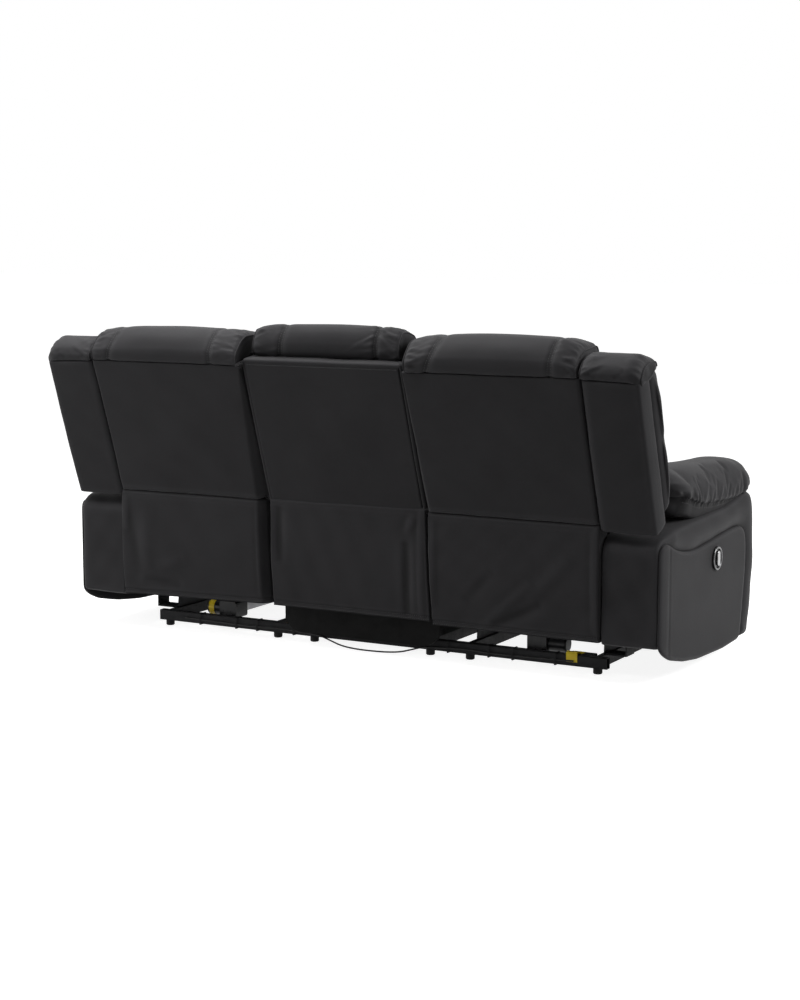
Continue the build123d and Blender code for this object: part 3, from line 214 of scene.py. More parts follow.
# Mechanisms: stamped plates and flat links of zinc-plated and black steel, riveted together.
# A motor with gearbox drives a screw in a channel, and a nut on it moves the linkage.
SIDES = (("left", 1.0), ("right", -1.0))
zinc_plate = coated("zinc_plate", (0.26, 0.26, 0.27), (0.36, 0.36, 0.36), 0.36, 1.0, 700, 0.0002)
gloss_plastic = coated(
    "gloss_plastic", (0.008, 0.008, 0.009), (0.012, 0.012, 0.013), 0.32, 0.0, 400, 0.0001, 0.2
)
paint(powder_coat, "mech_base_plates")
paint(zinc_plate, "drive_tracks")
paint(gloss_plastic, "drive_motors")
paint(black_plastic, "power_supply")
for side, _ in SIDES:
    paint(powder_coat, f"{side}_seat_plates")
    paint(zinc_plate, f"{side}_rear_links", f"{side}_front_links")
    paint(black_plastic, f"{side}_drive_nut")

# Bare yellow tags of card: one lies on the power supply and is folded over the rear rail, and one is
# wrapped round the end of the left motor.
CARD = 0.001
TAG_LINE = [
    (0.1700, 0.0295), (0.1700, 0.0530), (0.1675, 0.0590), (0.1600, 0.0615),
    (0.1510, 0.0590), (0.1440, 0.0530), (0.1380, 0.0500), (0.1040, 0.0500),
]
TAG_INNER = [
    (0.1040, 0.0492), (0.1384, 0.0492), (0.1446, 0.0520), (0.1514, 0.0580),
    (0.1600, 0.0605), (0.1668, 0.0583), (0.1692, 0.0528), (0.1692, 0.0295),
]
TAG_ENDS, MOTOR_TAG = (-0.711, -0.675), (0.030, 0.010)
MOTOR_ROUND, MOTOR_BACK, MOTOR_HIGH, MOTOR_STEPS = 0.0263, 0.035, 0.065, 32
yellow_card = coated("yellow_card", (0.83, 0.62, 0.01), (0.70, 0.50, 0.01), 0.5, 0.0, 500, 0.0002)


def add_piece(name, points, faces, material, smooth=True):
    mesh = bpy.data.meshes.new(name)
    mesh.from_pydata([tuple(p) for p in points], [], [tuple(f) for f in faces])
    mesh.materials.append(material)
    mesh.polygons.foreach_set("use_smooth", [smooth] * len(mesh.polygons))
    piece = bpy.data.objects.new(name, mesh)
    scene.collection.objects.link(piece)
    return piece


def card_sleeve(name, section, low, high):
    """A sleeve of card round a section given as (y, z) points."""
    section = np.array(section)
    middle = section.mean(axis=0)
    outer = section + CARD * (section - middle) / np.linalg.norm(section - middle, axis=1)[:, None]
    count = len(section)
    points, faces = [], []
    for x, ring in ((low, section), (low, outer), (high, outer), (high, section)):
        points += [(x, y, z) for y, z in ring]
    for row in range(4):
        for k in range(count):
            after = (k + 1) % count
            below = (row + 1) % 4 * count
            faces.append((row * count + k, row * count + after, below + after, below + k))
    return add_piece(name, points, faces, yellow_card, smooth=False)


tag_loop = TAG_LINE + TAG_INNER
count = len(tag_loop)
supply_tag = add_piece(
    "supply_tag",
    [(x, y, z) for x in TAG_ENDS for y, z in tag_loop],
    [(k, (k + 1) % count, (k + 1) % count + count, k + count) for k in range(count)]
    + [(k, count - 1 - k, count - 2 - k, k + 1) for k in range(count // 2 - 1)]
    + [(count + k + 1, 2 * count - 2 - k, 2 * count - 1 - k, count + k) for k in range(count // 2 - 1)],
    yellow_card, smooth=False,
)
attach(supply_tag, "base")

low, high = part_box("drive_motors")
motor_section = []
for k in range(MOTOR_STEPS):
    turn = k * math.pi / (MOTOR_STEPS / 2)
    y, z = low.y + MOTOR_BACK + MOTOR_ROUND * math.cos(turn), MOTOR_HIGH + MOTOR_ROUND * math.sin(turn)
    motor_section.append((y, z))
motor_tag = card_sleeve("motor_tag", motor_section, *[high.x - end for end in MOTOR_TAG])
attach(motor_tag, "base")

# Seat frames: glued boards of pale softwood, closed by rows of zigzag steel springs.
# The centre seat stands on taller boards with a thin deck, and its rear board is black.
softwood, tree, shader = new_material("softwood")
place = add_node(tree, "ShaderNodeTexCoord")["Object"]
stretch = add_node(tree, "ShaderNodeMapping", {"Vector": place, "Scale": (4, 30, 30)})
rings = {"Vector": stretch["Vector"], "Scale": 3, "Detail": 6, "Distortion": 1.2}
rings = add_node(tree, "ShaderNodeTexNoise", rings)
tint = tree.nodes.new("ShaderNodeValToRGB")
for stop, spot, colour in zip(tint.color_ramp.elements, (0.35, 0.68), ((0.40, 0.27, 0.15), (0.62, 0.46, 0.28))):
    stop.position, stop.color = spot, (*colour, 1)
join(tree, tint, {"Fac": rings["Fac"]})
join(tree, shader, {
    "Base Color": tint.outputs["Color"],
    "Roughness": noise(tree, place, 40, 3, 0.55, 0.75),
    "Normal": bump(tree, rings["Fac"], 0.0006, 0.4),
})
dust_cloth = coated(
    "dust_cloth", (0.010, 0.010, 0.010), (0.014, 0.014, 0.014), 0.85, 0.0, 1500, 0.0004, 0.05
)
paint(dust_cloth, "centre_seat_frame")
for side, _ in SIDES:
    paint(softwood, f"{side}_seat_frame")
    paint(zinc_plate, f"{side}_seat_springs")

# Seat cushions: foam blocks with a fibre top, in leatherette covers sewn from three panels with double
# seams. The end ones lie on their spring frames, and the centre one on its own taller frame.

# The leatherette is a matte charcoal coating with a fine pebble grain on knitted cloth. Painted highlight makes
# it paler on ridges, and painted shade darker in hollows and seams, where it is also duller; the fold attribute
# marks both.
hide = bpy.data.node_groups.new("hide", "ShaderNodeTree")
for socket, kind in (("Place", "Vector"), ("Fold", "Float"), ("Shade", "Color"), ("Worn", "Color")):
    hide.interface.new_socket(socket, in_out="INPUT", socket_type=f"NodeSocket{kind}")
for socket, kind in (("Color", "Color"), ("Roughness", "Float"), ("Height", "Float")):
    hide.interface.new_socket(socket, in_out="OUTPUT", socket_type=f"NodeSocket{kind}")
given = add_node(hide, "NodeGroupInput")
pebbles = add_node(hide, "ShaderNodeTexVoronoi", {"Vector": given["Place"], "Scale": 620})
creases = noise(hide, given["Place"], 130, 4, 0, 0.6)
height = add_node(hide, "ShaderNodeMath", {0: creases, 1: pebbles["Distance"]}, operation="SUBTRACT")
patches = noise(hide, given["Place"], 7, 4, -0.08, 0.08)
# Painted highlight and painted shade: the fold value moves the colour towards the pale one on ridges and
# towards the dark one in hollows. The patches are random tone.
lit_and_patchy = add_node(hide, "ShaderNodeMath", {0: given["Fold"], 1: 0.9, 2: patches}, operation="MULTIPLY_ADD")
lit_and_patchy = add_node(hide, "ShaderNodeMath", {0: lit_and_patchy[0], 1: 0.4}, operation="ADD", use_clamp=True)
tone = add_node(hide, "ShaderNodeMix", {0: lit_and_patchy[0], 6: given["Shade"], 7: given["Worn"]}, data_type="RGBA")
gloss = add_node(hide, "ShaderNodeMapRange", {"Value": lit_and_patchy[0], "To Min": 0.62, "To Max": 0.46})
add_node(hide, "NodeGroupOutput", {"Color": tone[2], "Roughness": gloss["Result"], "Height": height[0]})

leatherette, tree, shader = new_material("leatherette")
# The pale colour serves painted highlight on ridges and pale random patches, and the dark colour painted shade
# in hollows.
grain = {
    "Place": add_node(tree, "ShaderNodeTexCoord")["Object"],
    "Fold": add_node(tree, "ShaderNodeAttribute", attribute_name="fold")["Fac"],
    "Shade": (0.0115, 0.0112, 0.0118, 1), "Worn": (0.0245, 0.0240, 0.0255, 1),
}
grain = add_node(tree, "ShaderNodeGroup", grain, node_tree=hide)
join(tree, shader, {
    "Base Color": grain["Color"], "Roughness": grain["Roughness"], "Specular IOR Level": 0.03,
    "Sheen Weight": 0.04, "Sheen Roughness": 0.45, "Normal": bump(tree, grain["Height"], 0.0005, 0.35),
})
thread = coated("sewing_thread", (0.012, 0.012, 0.013), (0.020, 0.020, 0.021), 0.7, 0.0, 2500, 0.0001)


# A soft form is a closed outline, swept through stations. Its ends are drawn in and filled, the skin is
# sewn down along its seams, and cloth under pressure fills it out like the foam and fibre inside.
def outline(corners, rounds, crowns, counts):
    """Points round a closed outline: corners rounded, each side bowed out by its crown."""
    corners = np.array(corners, float)
    size = len(corners)
    middle = corners.mean(axis=0)
    edges = []
    for k in range(size):
        start, end = corners[k], corners[(k + 1) % size]
        normal = np.array([end[1] - start[1], start[0] - end[0]]) / np.linalg.norm(end - start)
        if normal @ ((start + end) / 2 - middle) < 0:
            normal = -normal
        edges.append((start, end, normal * crowns[k], np.linalg.norm(end - start)))

    def along(k, t):
        start, end, bow, _ = edges[k]
        return start + (end - start) * t + bow * 4 * t * (1 - t)

    points = []
    for k in range(size):
        length = edges[k][3]
        nxt = (k + 1) % size
        here = min(rounds[k], 0.48 * length, 0.48 * edges[k - 1][3])
        there = min(rounds[nxt], 0.48 * length, 0.48 * edges[nxt][3])
        for step in range(counts[k]):
            s = step / counts[k] * length
            if s < here:
                corner, reach, u = k, here, 0.5 + 0.5 * s / here
            elif length - s < there:
                corner, reach, u = nxt, there, 0.5 - 0.5 * (length - s) / there
            else:
                points.append(along(k, s / length))
                continue
            before = along(corner - 1, 1 - reach / edges[corner - 1][3])
            after = along(corner, reach / edges[corner][3])
            points.append((1 - u) ** 2 * before + 2 * u * (1 - u) * corners[corner] + u * u * after)
    return np.array(points)


def skin(name, rings, material, caps=5, bulge=0.0):
    """A closed skin through rings of equal count, each end filled by shrinking rings."""
    rings = np.array(rings)
    count, around = rings.shape[:2]
    points = [rings.reshape(-1, 3)]
    rows = [np.arange(around) + k * around for k in range(count)]
    faces = []
    total = count * around
    for last, inner, order in ((0, 1, 1), (count - 1, count - 2, -1)):
        ring = rings[last]
        middle = ring.mean(axis=0)
        axis = middle - rings[inner].mean(axis=0)
        axis /= np.linalg.norm(axis)
        chain = [rows[last]]
        for k in range(1, caps + 1):
            shrink = 1 - k / (caps + 1)
            points.append(middle + (ring - middle) * shrink + axis * bulge * (1 - shrink**2))
            chain.append(np.arange(around) + total)
            total += around
        for a, b in zip(chain, chain[1:]):
            faces += [(a[j], a[(j + 1) % around], b[(j + 1) % around], b[j])[::order] for j in range(around)]
        a = chain[-1]
        strips = [(a[j], a[j + 1], a[-j - 1], a[-j]) for j in range((around + 1) // 2)]
        faces += [tuple(dict.fromkeys(strip))[::order] for strip in strips]
    for a, b in zip(rows, rows[1:]):
        faces += [(b[j], b[(j + 1) % around], a[(j + 1) % around], a[j]) for j in range(around)]
    piece = add_piece(name, np.concatenate(points), faces, material)
    outward(piece)
    return piece


def outward(piece):
    """Turns a closed skin's faces outwards, by the sign of its volume."""
    mesh = piece.data
    mesh.calc_loop_triangles()
    place = coordinates(piece)
    tris = np.empty(len(mesh.loop_triangles) * 3, int)
    mesh.loop_triangles.foreach_get("vertices", tris)
    a, b, c = place[tris.reshape(-1, 3)].transpose(1, 0, 2)
    if np.einsum("ij,ij->i", a, np.cross(b, c)).sum() < 0:
        mesh.flip_normals()


def coordinates(piece):
    place = np.empty(len(piece.data.vertices) * 3)
    piece.data.vertices.foreach_get("co", place)
    return place.reshape(-1, 3)


def reshape(piece, place):
    piece.data.vertices.foreach_set("co", np.asarray(place, np.float32).ravel())
    piece.data.update()


def vertex_normals(piece):
    found = np.empty(len(piece.data.vertices) * 3)
    piece.data.vertex_normals.foreach_get("vector", found)
    return found.reshape(-1, 3)


def inflate(piece, sewn, pressure, growth, cap, bend=4.0, frames=16):
    """Cloth under pressure: sewn is each point's hold, growth the spare cloth, cap the most it swells."""
    rest = coordinates(piece)
    hold = piece.vertex_groups.new(name="sewn")
    for level in np.unique(np.round(sewn, 2)):
        if level > 0:
            hold.add(np.flatnonzero(np.round(sewn, 2) == level).tolist(), float(level), "REPLACE")
    cloth = piece.modifiers.new("stuffing", "CLOTH")
    cloth.point_cache.frame_start = 1
    cloth.point_cache.frame_end = frames
    cloth.collision_settings.use_collision = False
    settings = cloth.settings
    settings.quality = 5
    settings.mass = 0.3
    settings.tension_stiffness = 15
    settings.compression_stiffness = 15
    settings.shear_stiffness = 6
    settings.bending_stiffness = bend
    settings.use_pressure = True
    settings.uniform_pressure_force = pressure
    settings.shrink_min = -growth
    settings.vertex_group_mass = "sewn"
    settings.effector_weights.gravity = 0
    for step in range(1, frames + 1):
        scene.frame_set(step)
    swollen = piece.evaluated_get(bpy.context.evaluated_depsgraph_get()).data
    moved = np.empty(len(rest) * 3)
    swollen.vertices.foreach_get("co", moved)
    travel = moved.reshape(-1, 3) - rest
    far = np.linalg.norm(travel, axis=1)[:, None] + 1e-9
    piece.modifiers.remove(cloth)
    piece.vertex_groups.remove(hold)
    scene.frame_set(1)
    reshape(piece, rest + travel / far * cap * np.tanh(far / cap))


# The fold attribute drives painted highlight on ridges and painted shade in hollows in the leatherette's
# colour.
def mark_folds(piece, gain=0.05):
    """The fold attribute: above zero on ridges, below it in hollows, from the skin's curvature."""
    place, normal = coordinates(piece), vertex_normals(piece)
    edges = np.empty(len(piece.data.edges) * 2, int)
    piece.data.edges.foreach_get("vertices", edges)
    a, b = edges.reshape(-1, 2).T
    degree = np.bincount(a, minlength=len(place)) + np.bincount(b, minlength=len(place))

    def around(values):
        total = np.zeros_like(values)
        np.add.at(total, a, values[b])
        np.add.at(total, b, values[a])
        return total / np.maximum(degree, 1).reshape(-1, *[1] * (values.ndim - 1))

    spacing = np.linalg.norm(place[a] - place[b], axis=1).mean()
    bent = -np.einsum("ij,ij->i", around(place) - place, normal) / spacing**2
    for _ in range(2):
        bent = (bent + around(bent)) / 2
    attribute = piece.data.attributes.new("fold", "FLOAT", "POINT")
    attribute.data.foreach_set("value", np.clip(bent * gain, -0.5, 0.4).astype(np.float32))


def shade_painted(piece, points):
    """Paints shade into a panel that lies in the shade of its neighbours, such as a gusset."""
    for point in points:
        piece.data.attributes["fold"].data[int(point)].value = -0.45


def smoothed(piece):
    finish = piece.modifiers.new("smooth_skin", "SUBSURF")
    finish.levels = finish.render_levels = 1
    finish.use_limit_surface = False


# Stitches and piping are grown along seam paths by node trees: a thread capsule for every stitch,
# laid on the skin, and a covered cord for each piped edge.
def add_tree(name, sockets):
    tree = bpy.data.node_groups.new(name, "GeometryNodeTree")
    for socket, kind in (("Geometry", "Geometry"), *sockets, ("Material", "Material")):
        tree.interface.new_socket(socket, in_out="INPUT", socket_type=f"NodeSocket{kind}")
    tree.interface.new_socket("Geometry", in_out="OUTPUT", socket_type="NodeSocketGeometry")
    return tree, add_node(tree, "NodeGroupInput")


def end_tree(tree, given, form):
    """Makes a tree's result real and smooth, and gives it its material."""
    for kind in ("GeometryNodeRealizeInstances", "GeometryNodeSetShadeSmooth"):
        form = add_node(tree, kind, {"Geometry": form})[0]
    form = add_node(tree, "GeometryNodeSetMaterial", {"Geometry": form, "Material": given["Material"]})
    add_node(tree, "NodeGroupOutput", {0: form[0]})


stitch_tree, given = add_tree(
    "seam_stitches", (("Surface", "Object"), ("Pitch", "Float"), ("Length", "Float"), ("Thread", "Float"))
)
path = add_node(stitch_tree, "GeometryNodeMeshToCurve", {"Mesh": given["Geometry"]})
spots = {"Curve": path["Curve"], "Length": given["Pitch"]}
spots = add_node(stitch_tree, "GeometryNodeCurveToPoints", spots, mode="LENGTH")
under = add_node(stitch_tree, "GeometryNodeObjectInfo", {"Object": given["Surface"]})
nearest = add_node(stitch_tree, "GeometryNodeProximity", {0: under["Geometry"]})
facing = {"Mesh": under["Geometry"], "Value": add_node(stitch_tree, "GeometryNodeInputNormal")[0]}
facing = add_node(stitch_tree, "GeometryNodeSampleNearestSurface", facing, data_type="FLOAT_VECTOR")
laid = {"Geometry": spots["Points"], "Position": nearest["Position"]}
laid = add_node(stitch_tree, "GeometryNodeSetPosition", laid)
turn = add_node(stitch_tree, "FunctionNodeAlignRotationToVector", {"Vector": spots["Tangent"]}, axis="X")
turn = {"Rotation": turn[0], "Vector": facing["Value"]}
turn = add_node(stitch_tree, "FunctionNodeAlignRotationToVector", turn, axis="Z", pivot_axis="X")
capsule = {"Segments": 6, "Rings": 4, "Radius": 0.5}
capsule = add_node(stitch_tree, "GeometryNodeMeshUVSphere", capsule)
shape = {"X": given["Length"], "Y": given["Thread"], "Z": given["Thread"]}
shape = add_node(stitch_tree, "ShaderNodeCombineXYZ", shape)
stitch = {"Geometry": capsule["Mesh"], "Scale": shape[0]}
stitch = add_node(stitch_tree, "GeometryNodeTransform", stitch)
sewn_row = {"Points": laid[0], "Instance": stitch[0], "Rotation": turn[0]}
end_tree(stitch_tree, given, add_node(stitch_tree, "GeometryNodeInstanceOnPoints", sewn_row)[0])

piping_tree, given = add_tree("seam_piping", (("Radius", "Float"), ("Step", "Float")))
path = add_node(piping_tree, "GeometryNodeMeshToCurve", {"Mesh": given["Geometry"]})
even = {"Curve": path["Curve"], "Length": given["Step"]}
even = add_node(piping_tree, "GeometryNodeResampleCurve", even, mode="LENGTH")
ring = {"Radius": given["Radius"], "Resolution": 8}
ring = add_node(piping_tree, "GeometryNodeCurvePrimitiveCircle", ring)
tube = {"Curve": even["Curve"], "Profile Curve": ring["Curve"], "Fill Caps": True}
end_tree(piping_tree, given, add_node(piping_tree, "GeometryNodeCurveToMesh", tube)[0])


def grown(name, tree, paths, **values):
    """Runs a tree on open or closed seam paths, and keeps the result as a plain mesh."""
    points, edges = [], []
    for places, closed in paths:
        first = len(points)
        points += [tuple(p) for p in places]
        edges += [(k, k + 1) for k in range(first, len(points) - 1)]
        if closed:
            edges.append((len(points) - 1, first))
    mesh = bpy.data.meshes.new(name)
    mesh.from_pydata(points, edges, [])
    piece = bpy.data.objects.new(name, mesh)
    scene.collection.objects.link(piece)
    growth = piece.modifiers.new(name, "NODES")
    growth.node_group = tree
    for socket in tree.interface.items_tree:
        if socket.in_out == "INPUT" and socket.name in values:
            growth[socket.identifier] = values[socket.name]
    bpy.context.view_layer.update()
    graph = bpy.context.evaluated_depsgraph_get()
    result = bpy.data.meshes.new_from_object(piece.evaluated_get(graph), depsgraph=graph)
    piece.modifiers.clear()
    piece.data = result
    return piece


def stitched(name, paths, surface, body):
    """Rows of stitches along seam paths on a skin, carried by its body."""
    row = grown(
        name, stitch_tree, paths, Surface=surface, Pitch=0.0075, Length=0.0056, Thread=0.0015, Material=thread
    )
    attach(row, body)


def piped(name, paths, body):
    """A covered cord along a seam path, carried by its body."""
    welt = grown(name, piping_tree, paths, Radius=0.0026, Step=0.006, Material=leatherette)
    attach(welt, body)


def at_end(piece, way):
    """The left piece itself, or its mirror image for the right end of the sofa."""
    if way > 0:
        return piece
    twin = bpy.data.objects.new(piece.name.replace("left", "right"), piece.data.copy())
    scene.collection.objects.link(twin)
    reshape(twin, coordinates(twin) * (-1, 1, 1))
    twin.data.flip_normals()
    if piece.modifiers:
        smoothed(twin)
    return twin


def rows_at_end(rows, way):
    return [(row * (way, 1, 1), closed) for row, closed in rows]


def fitted(piece, body, node):
    """A soft piece takes the place of its plain solid, carried by a body."""
    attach(piece, body)
    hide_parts(node)


SEAT_MIDDLE, SEAM_OUT, ROW_OUT, ROW_HOLD = 0.560, 0.165, 0.005, 0.0051
END_SECTION = [(-0.408, 0.3525), (-0.408, 0.469), (0.086, 0.469), (0.086, 0.3525)]
CENTRE_SECTION = [(-0.402, 0.3525), (-0.402, 0.464), (0.200, 0.464), (0.200, 0.3525)]


def inset(corners, amount):
    """A convex outline drawn in by the same amount on every side."""
    corners = np.array(corners, float)
    middle = corners.mean(axis=0)
    moved = []
    for k, corner in enumerate(corners):
        inward = []
        for a, b in ((corners[k - 1], corner), (corner, corners[(k + 1) % len(corners)])):
            normal = np.array([a[1] - b[1], b[0] - a[0]]) / np.linalg.norm(b - a)
            inward.append(normal if normal @ (middle - a) > 0 else -normal)
        moved.append(corner + amount * (inward[0] + inward[1]) / (1 + inward[0] @ inward[1]))
    return np.array(moved)


def stations(low, high, reach, step, seams=()):
    """Places along a piece: close together at its rounded ends and at both rows of each double seam."""
    ease = [reach * (1 - math.cos(math.radians(turn))) for turn in (0, 30, 60)]
    rows = [seam + side for seam in sorted(seams) for side in (-ROW_OUT, 0, ROW_OUT)]
    marks = [low + reach, *rows, high - reach]
    places = [low + near for near in ease]
    for a, b in zip(marks, marks[1:]):
        count = max(1, round((b - a) / step))
        places += [a + (b - a) * k / count for k in range(count)]
    return np.array(places + [marks[-1]] + [high - near for near in reversed(ease)])


def rounding(place, low, high, reach):
    near = min(place - low, high - place, reach)
    return reach - math.sqrt(max(reach**2 - (reach - near) ** 2, 0))


def cushion(name, section, rounds, crowns, counts, low, high, reach, step, seams=(), bulge=0.004):
    """A cushion across the sofa: its section runs from low to high along X, with rounded ends."""
    places = stations(low, high, reach, step, seams)
    rings = []
    for place in places:
        corners = section(place) if callable(section) else section
        ring = outline(inset(corners, rounding(place, low, high, reach)), rounds, crowns, counts)
        rings.append(np.column_stack([np.full(len(ring), place), ring]))
    return skin(name, rings, leatherette, caps=6, bulge=bulge), places


def sewn_down(piece, places, around, seams, depth, width=0.010):
    """Draws the skin in along its double seams, and gives each point's hold on the filling."""
    place, normal = coordinates(piece), vertex_normals(piece)
    hold = np.zeros(len(place))
    rows = len(places) * around
    station = np.repeat(places, around)
    for seam in seams:
        off = np.maximum(np.abs(station - seam) - ROW_HOLD, 0)
        place[:rows] -= normal[:rows] * (depth * np.exp(-((off / width) ** 2)))[:, None]
        hold[:rows][off == 0] = 1
    reshape(piece, place)
    return hold


def gathered(piece, along, away, depth, reach, pitch, seed):
    """Small folds that run out from a seam, unequal in height, length and slant."""
    chance = np.random.default_rng(seed)
    place, normal = coordinates(piece), vertex_normals(piece)
    lift = np.zeros(len(along))
    fold = along.min()
    while fold < along.max():
        long, high = reach * chance.uniform(0.4, 1.5), depth * chance.uniform(0.3, 1.3)
        slant, wide = chance.uniform(-0.6, 0.6), pitch * chance.uniform(0.22, 0.42)
        fade = np.clip(away / 0.005, 0, 1) * np.clip(1 - away / long, 0, 1) ** 1.4
        lift += high * fade * np.exp(-(((along - fold - slant * away) / wide) ** 2))
        fold += pitch * chance.uniform(0.6, 1.5)
    place[: len(lift)] += normal[: len(lift)] * lift[:, None]
    reshape(piece, place)


def distances(line):
    """How far along a line each of its points lies."""
    return np.r_[0, np.cumsum(np.linalg.norm(np.diff(np.array(line, float), axis=0), axis=1))]


def girth(piece, places, around):
    """Each point's distance round a cushion, measured at its middle station."""
    ring = coordinates(piece)[len(places) // 2 * around :][:around]
    return np.tile(distances(ring), len(places))


def gathered_seams(piece, places, around, seams, depth, reach, pitch, seed):
    """Folds on both sides of every double seam of a cushion."""
    along = girth(piece, places, around)
    for k, seam in enumerate(seams):
        for way in (-1, 1):
            away = (np.repeat(places, around) - seam) * way - ROW_OUT
            gathered(piece, along, away, depth, reach, pitch, seed + 2 * k + (way > 0))


def softened(piece, depth, size, seed, keep=None):
    """Broad shallow waves over a skin, as filling settles under it."""
    chance = np.random.default_rng(seed)
    place, normal = coordinates(piece), vertex_normals(piece)
    wave = np.zeros(len(place))
    for _ in range(9):
        lean = chance.normal(size=3)
        lean *= 2 * math.pi / (size * chance.uniform(0.6, 1.8)) / np.linalg.norm(lean)
        wave += np.sin(place @ lean + chance.uniform(0, 6.28))
    wave *= depth / 3
    reshape(piece, place + normal * (wave if keep is None else wave * keep)[:, None])


def seam_rows(piece, places, around, seams, first=0, last=None):
    """The two stitch rows of each double seam, from one outline point to another."""
    skin_points = coordinates(piece)
    rows = []
    for seam in seams:
        for side in (-ROW_OUT, ROW_OUT):
            k = int(np.abs(places - seam - side).argmin())
            rows.append((skin_points[k * around + first : k * around + (last or around)], last is None))
    return rows


def pinned(hold, places, points):
    """Holds the chosen points of the outline at every station."""
    hold[: len(places) * len(points)][np.tile(points, len(places))] = 1


def panelled(
    name, section, rounds, crowns, counts, middle, half, reach, step, folds, seed, fixed, filling, row,
    sunk=0.006, bulge=0.004, ends_held=False,
):
    """A cushion of three panels, drawn in and gathered at two double seams, and then filled. Its folds are
    (depth, reach, pitch), its filling is (pressure, growth, cap), and row bounds each row of stitches."""
    seams = (middle - SEAM_OUT, middle + SEAM_OUT)
    low, high = middle - half, middle + half
    piece, places = cushion(name, section, rounds, crowns, counts, low, high, reach, step, seams, bulge)
    around = sum(counts)
    hold = sewn_down(piece, places, around, seams, sunk)
    gathered_seams(piece, places, around, seams, *folds, seed)
    pinned(hold, places, fixed)
    if ends_held:
        hold[len(places) * around :] = 1
    inflate(piece, hold, *filling)
    mark_folds(piece)
    smoothed(piece)
    return piece, seam_rows(piece, places, around, seams, *row)


def seat_cushion(name, middle, section, counts, seed):
    top = sum(counts[:3])
    return panelled(
        name, section, (0.016, 0.045, 0.040, 0.016), (0.005, 0.012, 0.002, 0), counts,
        middle, 0.270, 0.030, 0.0105, (0.0022, 0.035, 0.024), seed,
        np.arange(sum(counts)) >= top, (4.0, 0.02, 0.010), (1, top),
    )


end_cushion, end_rows = seat_cushion(
    "left_seat_cushion_cover", SEAT_MIDDLE, END_SECTION, (12, 46, 12, 26), 40
)
for side, way in SIDES:
    cover = at_end(end_cushion, way)
    fitted(cover, f"{side}_seat", f"{side}_seat_cushion")
    stitched(f"{side}_seat_stitches", rows_at_end(end_rows, way), cover, f"{side}_seat")
centre_cushion, centre_rows = seat_cushion(
    "centre_seat_cushion_cover", 0.0, CENTRE_SECTION, (12, 56, 12, 26), 60
)
fitted(centre_cushion, "base", "centre_seat_cushion")
stitched("centre_seat_stitches", centre_rows, centre_cushion, "base")

# Footrests: a board with a thin foam pad, upholstered to match the seats, on ears for the links.
# The centre seat has a fixed panel of the same make in their line.
FOOT_COUNTS = (26, 4, 34, 4)
FOOT_LOW, FOOT_HIGH, FOOT_FACE, FOOT_HALF = 0.114, 0.398, -0.4525, 0.259
FOOT_REAR, BOARD_REAR, CENTRE_REAR = -0.4375, -0.4365, -0.4140


def front_pad(name, middle, rear, seed):
    section = [(rear, FOOT_LOW), (rear, FOOT_HIGH), (FOOT_FACE, FOOT_HIGH), (FOOT_FACE, FOOT_LOW)]
    points = np.arange(sum(FOOT_COUNTS))
    front = (points > FOOT_COUNTS[0] + 3) & (points < len(points) - 3)
    return panelled(
        name, section, (0.004, 0.004, 0.009, 0.009), (0, 0.002, 0.009, 0.002), FOOT_COUNTS,
        middle, FOOT_HALF, 0.007, 0.010, (0.0015, 0.030, 0.022), seed,
        ~front, (3.0, 0.015, 0.008), (FOOT_COUNTS[0] + 4, len(points) - 4),
        sunk=0.004, bulge=0.0, ends_held=True,
    )


def board_and_ears(name, node, rear):
    """The parts of a footrest behind its pad, from a merged copy of its solid."""
    form = bmesh.new()
    form.from_mesh(nodes[node].data)
    bmesh.ops.remove_doubles(form, verts=form.verts, dist=1e-6)
    waiting = set(form.faces)
    while waiting:
        island, edge = set(), [waiting.pop()]
        while edge:
            face = edge.pop()
            island.add(face)
            for line in face.edges:
                for other in line.link_faces:
                    if other in waiting:
                        waiting.discard(other)
                        edge.append(other)
        if max(v.co.y for f in island for v in f.verts) < rear + 1e-3:
            bmesh.ops.delete(form, geom=list(island), context="FACES")
    mesh = bpy.data.meshes.new(name)
    form.to_mesh(mesh)
    form.free()
    mesh.materials.append(powder_coat)
    piece = bpy.data.objects.new(name, mesh)
    scene.collection.objects.link(piece)
    return piece


foot_pad, foot_rows = front_pad("left_footrest_pad", SEAT_MIDDLE, FOOT_REAR, 80)
for side, way in SIDES:
    pad = at_end(foot_pad, way)
    board = board_and_ears(f"{side}_footrest_board", f"{side}_footrest", BOARD_REAR)
    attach(board, f"{side}_legrest")
    fitted(pad, f"{side}_legrest", f"{side}_footrest")
    stitched(f"{side}_footrest_stitches", rows_at_end(foot_rows, way), pad, f"{side}_legrest")
centre_front, centre_front_rows = front_pad("centre_front_pad", 0.0, CENTRE_REAR, 90)
fitted(centre_front, "base", "centre_front_panel")
stitched("centre_front_stitches", centre_front_rows, centre_front, "base")

# Arms: a timber box padded with foam and covered in leatherette, bolted to the base brackets.
# On its outer face lies a flatter padded panel with a wavy upper edge, and the cover swells around it.
ARM_OUTLINE = [
    (0.306, 0.122), (0.306, 0.412), (0.277, 0.4355), (0.194, 0.455), (-0.250, 0.468), (-0.370, 0.489),
    (-0.425, 0.497), (-0.463, 0.485), (-0.482, 0.449), (-0.4955, 0.290), (-0.480, 0.144), (-0.452, 0.037),
    (-0.060, 0.046), (0.100, 0.092),
]
ARM_ROUNDS = (0.012, 0.02, 0.02, 0.03, 0.06, 0.03, 0.018, 0.016, 0.03, 0.10, 0.06, 0.012, 0.06, 0.06)
ARM_COUNTS = (26, 4, 8, 38, 11, 6, 5, 5, 14, 13, 10, 34, 15, 18)
ARM_IN, ARM_OUT, ARM_RIM, ARM_SPAN, ARM_SWELL = 0.846, 1.016, 0.012, 0.28, 0.013
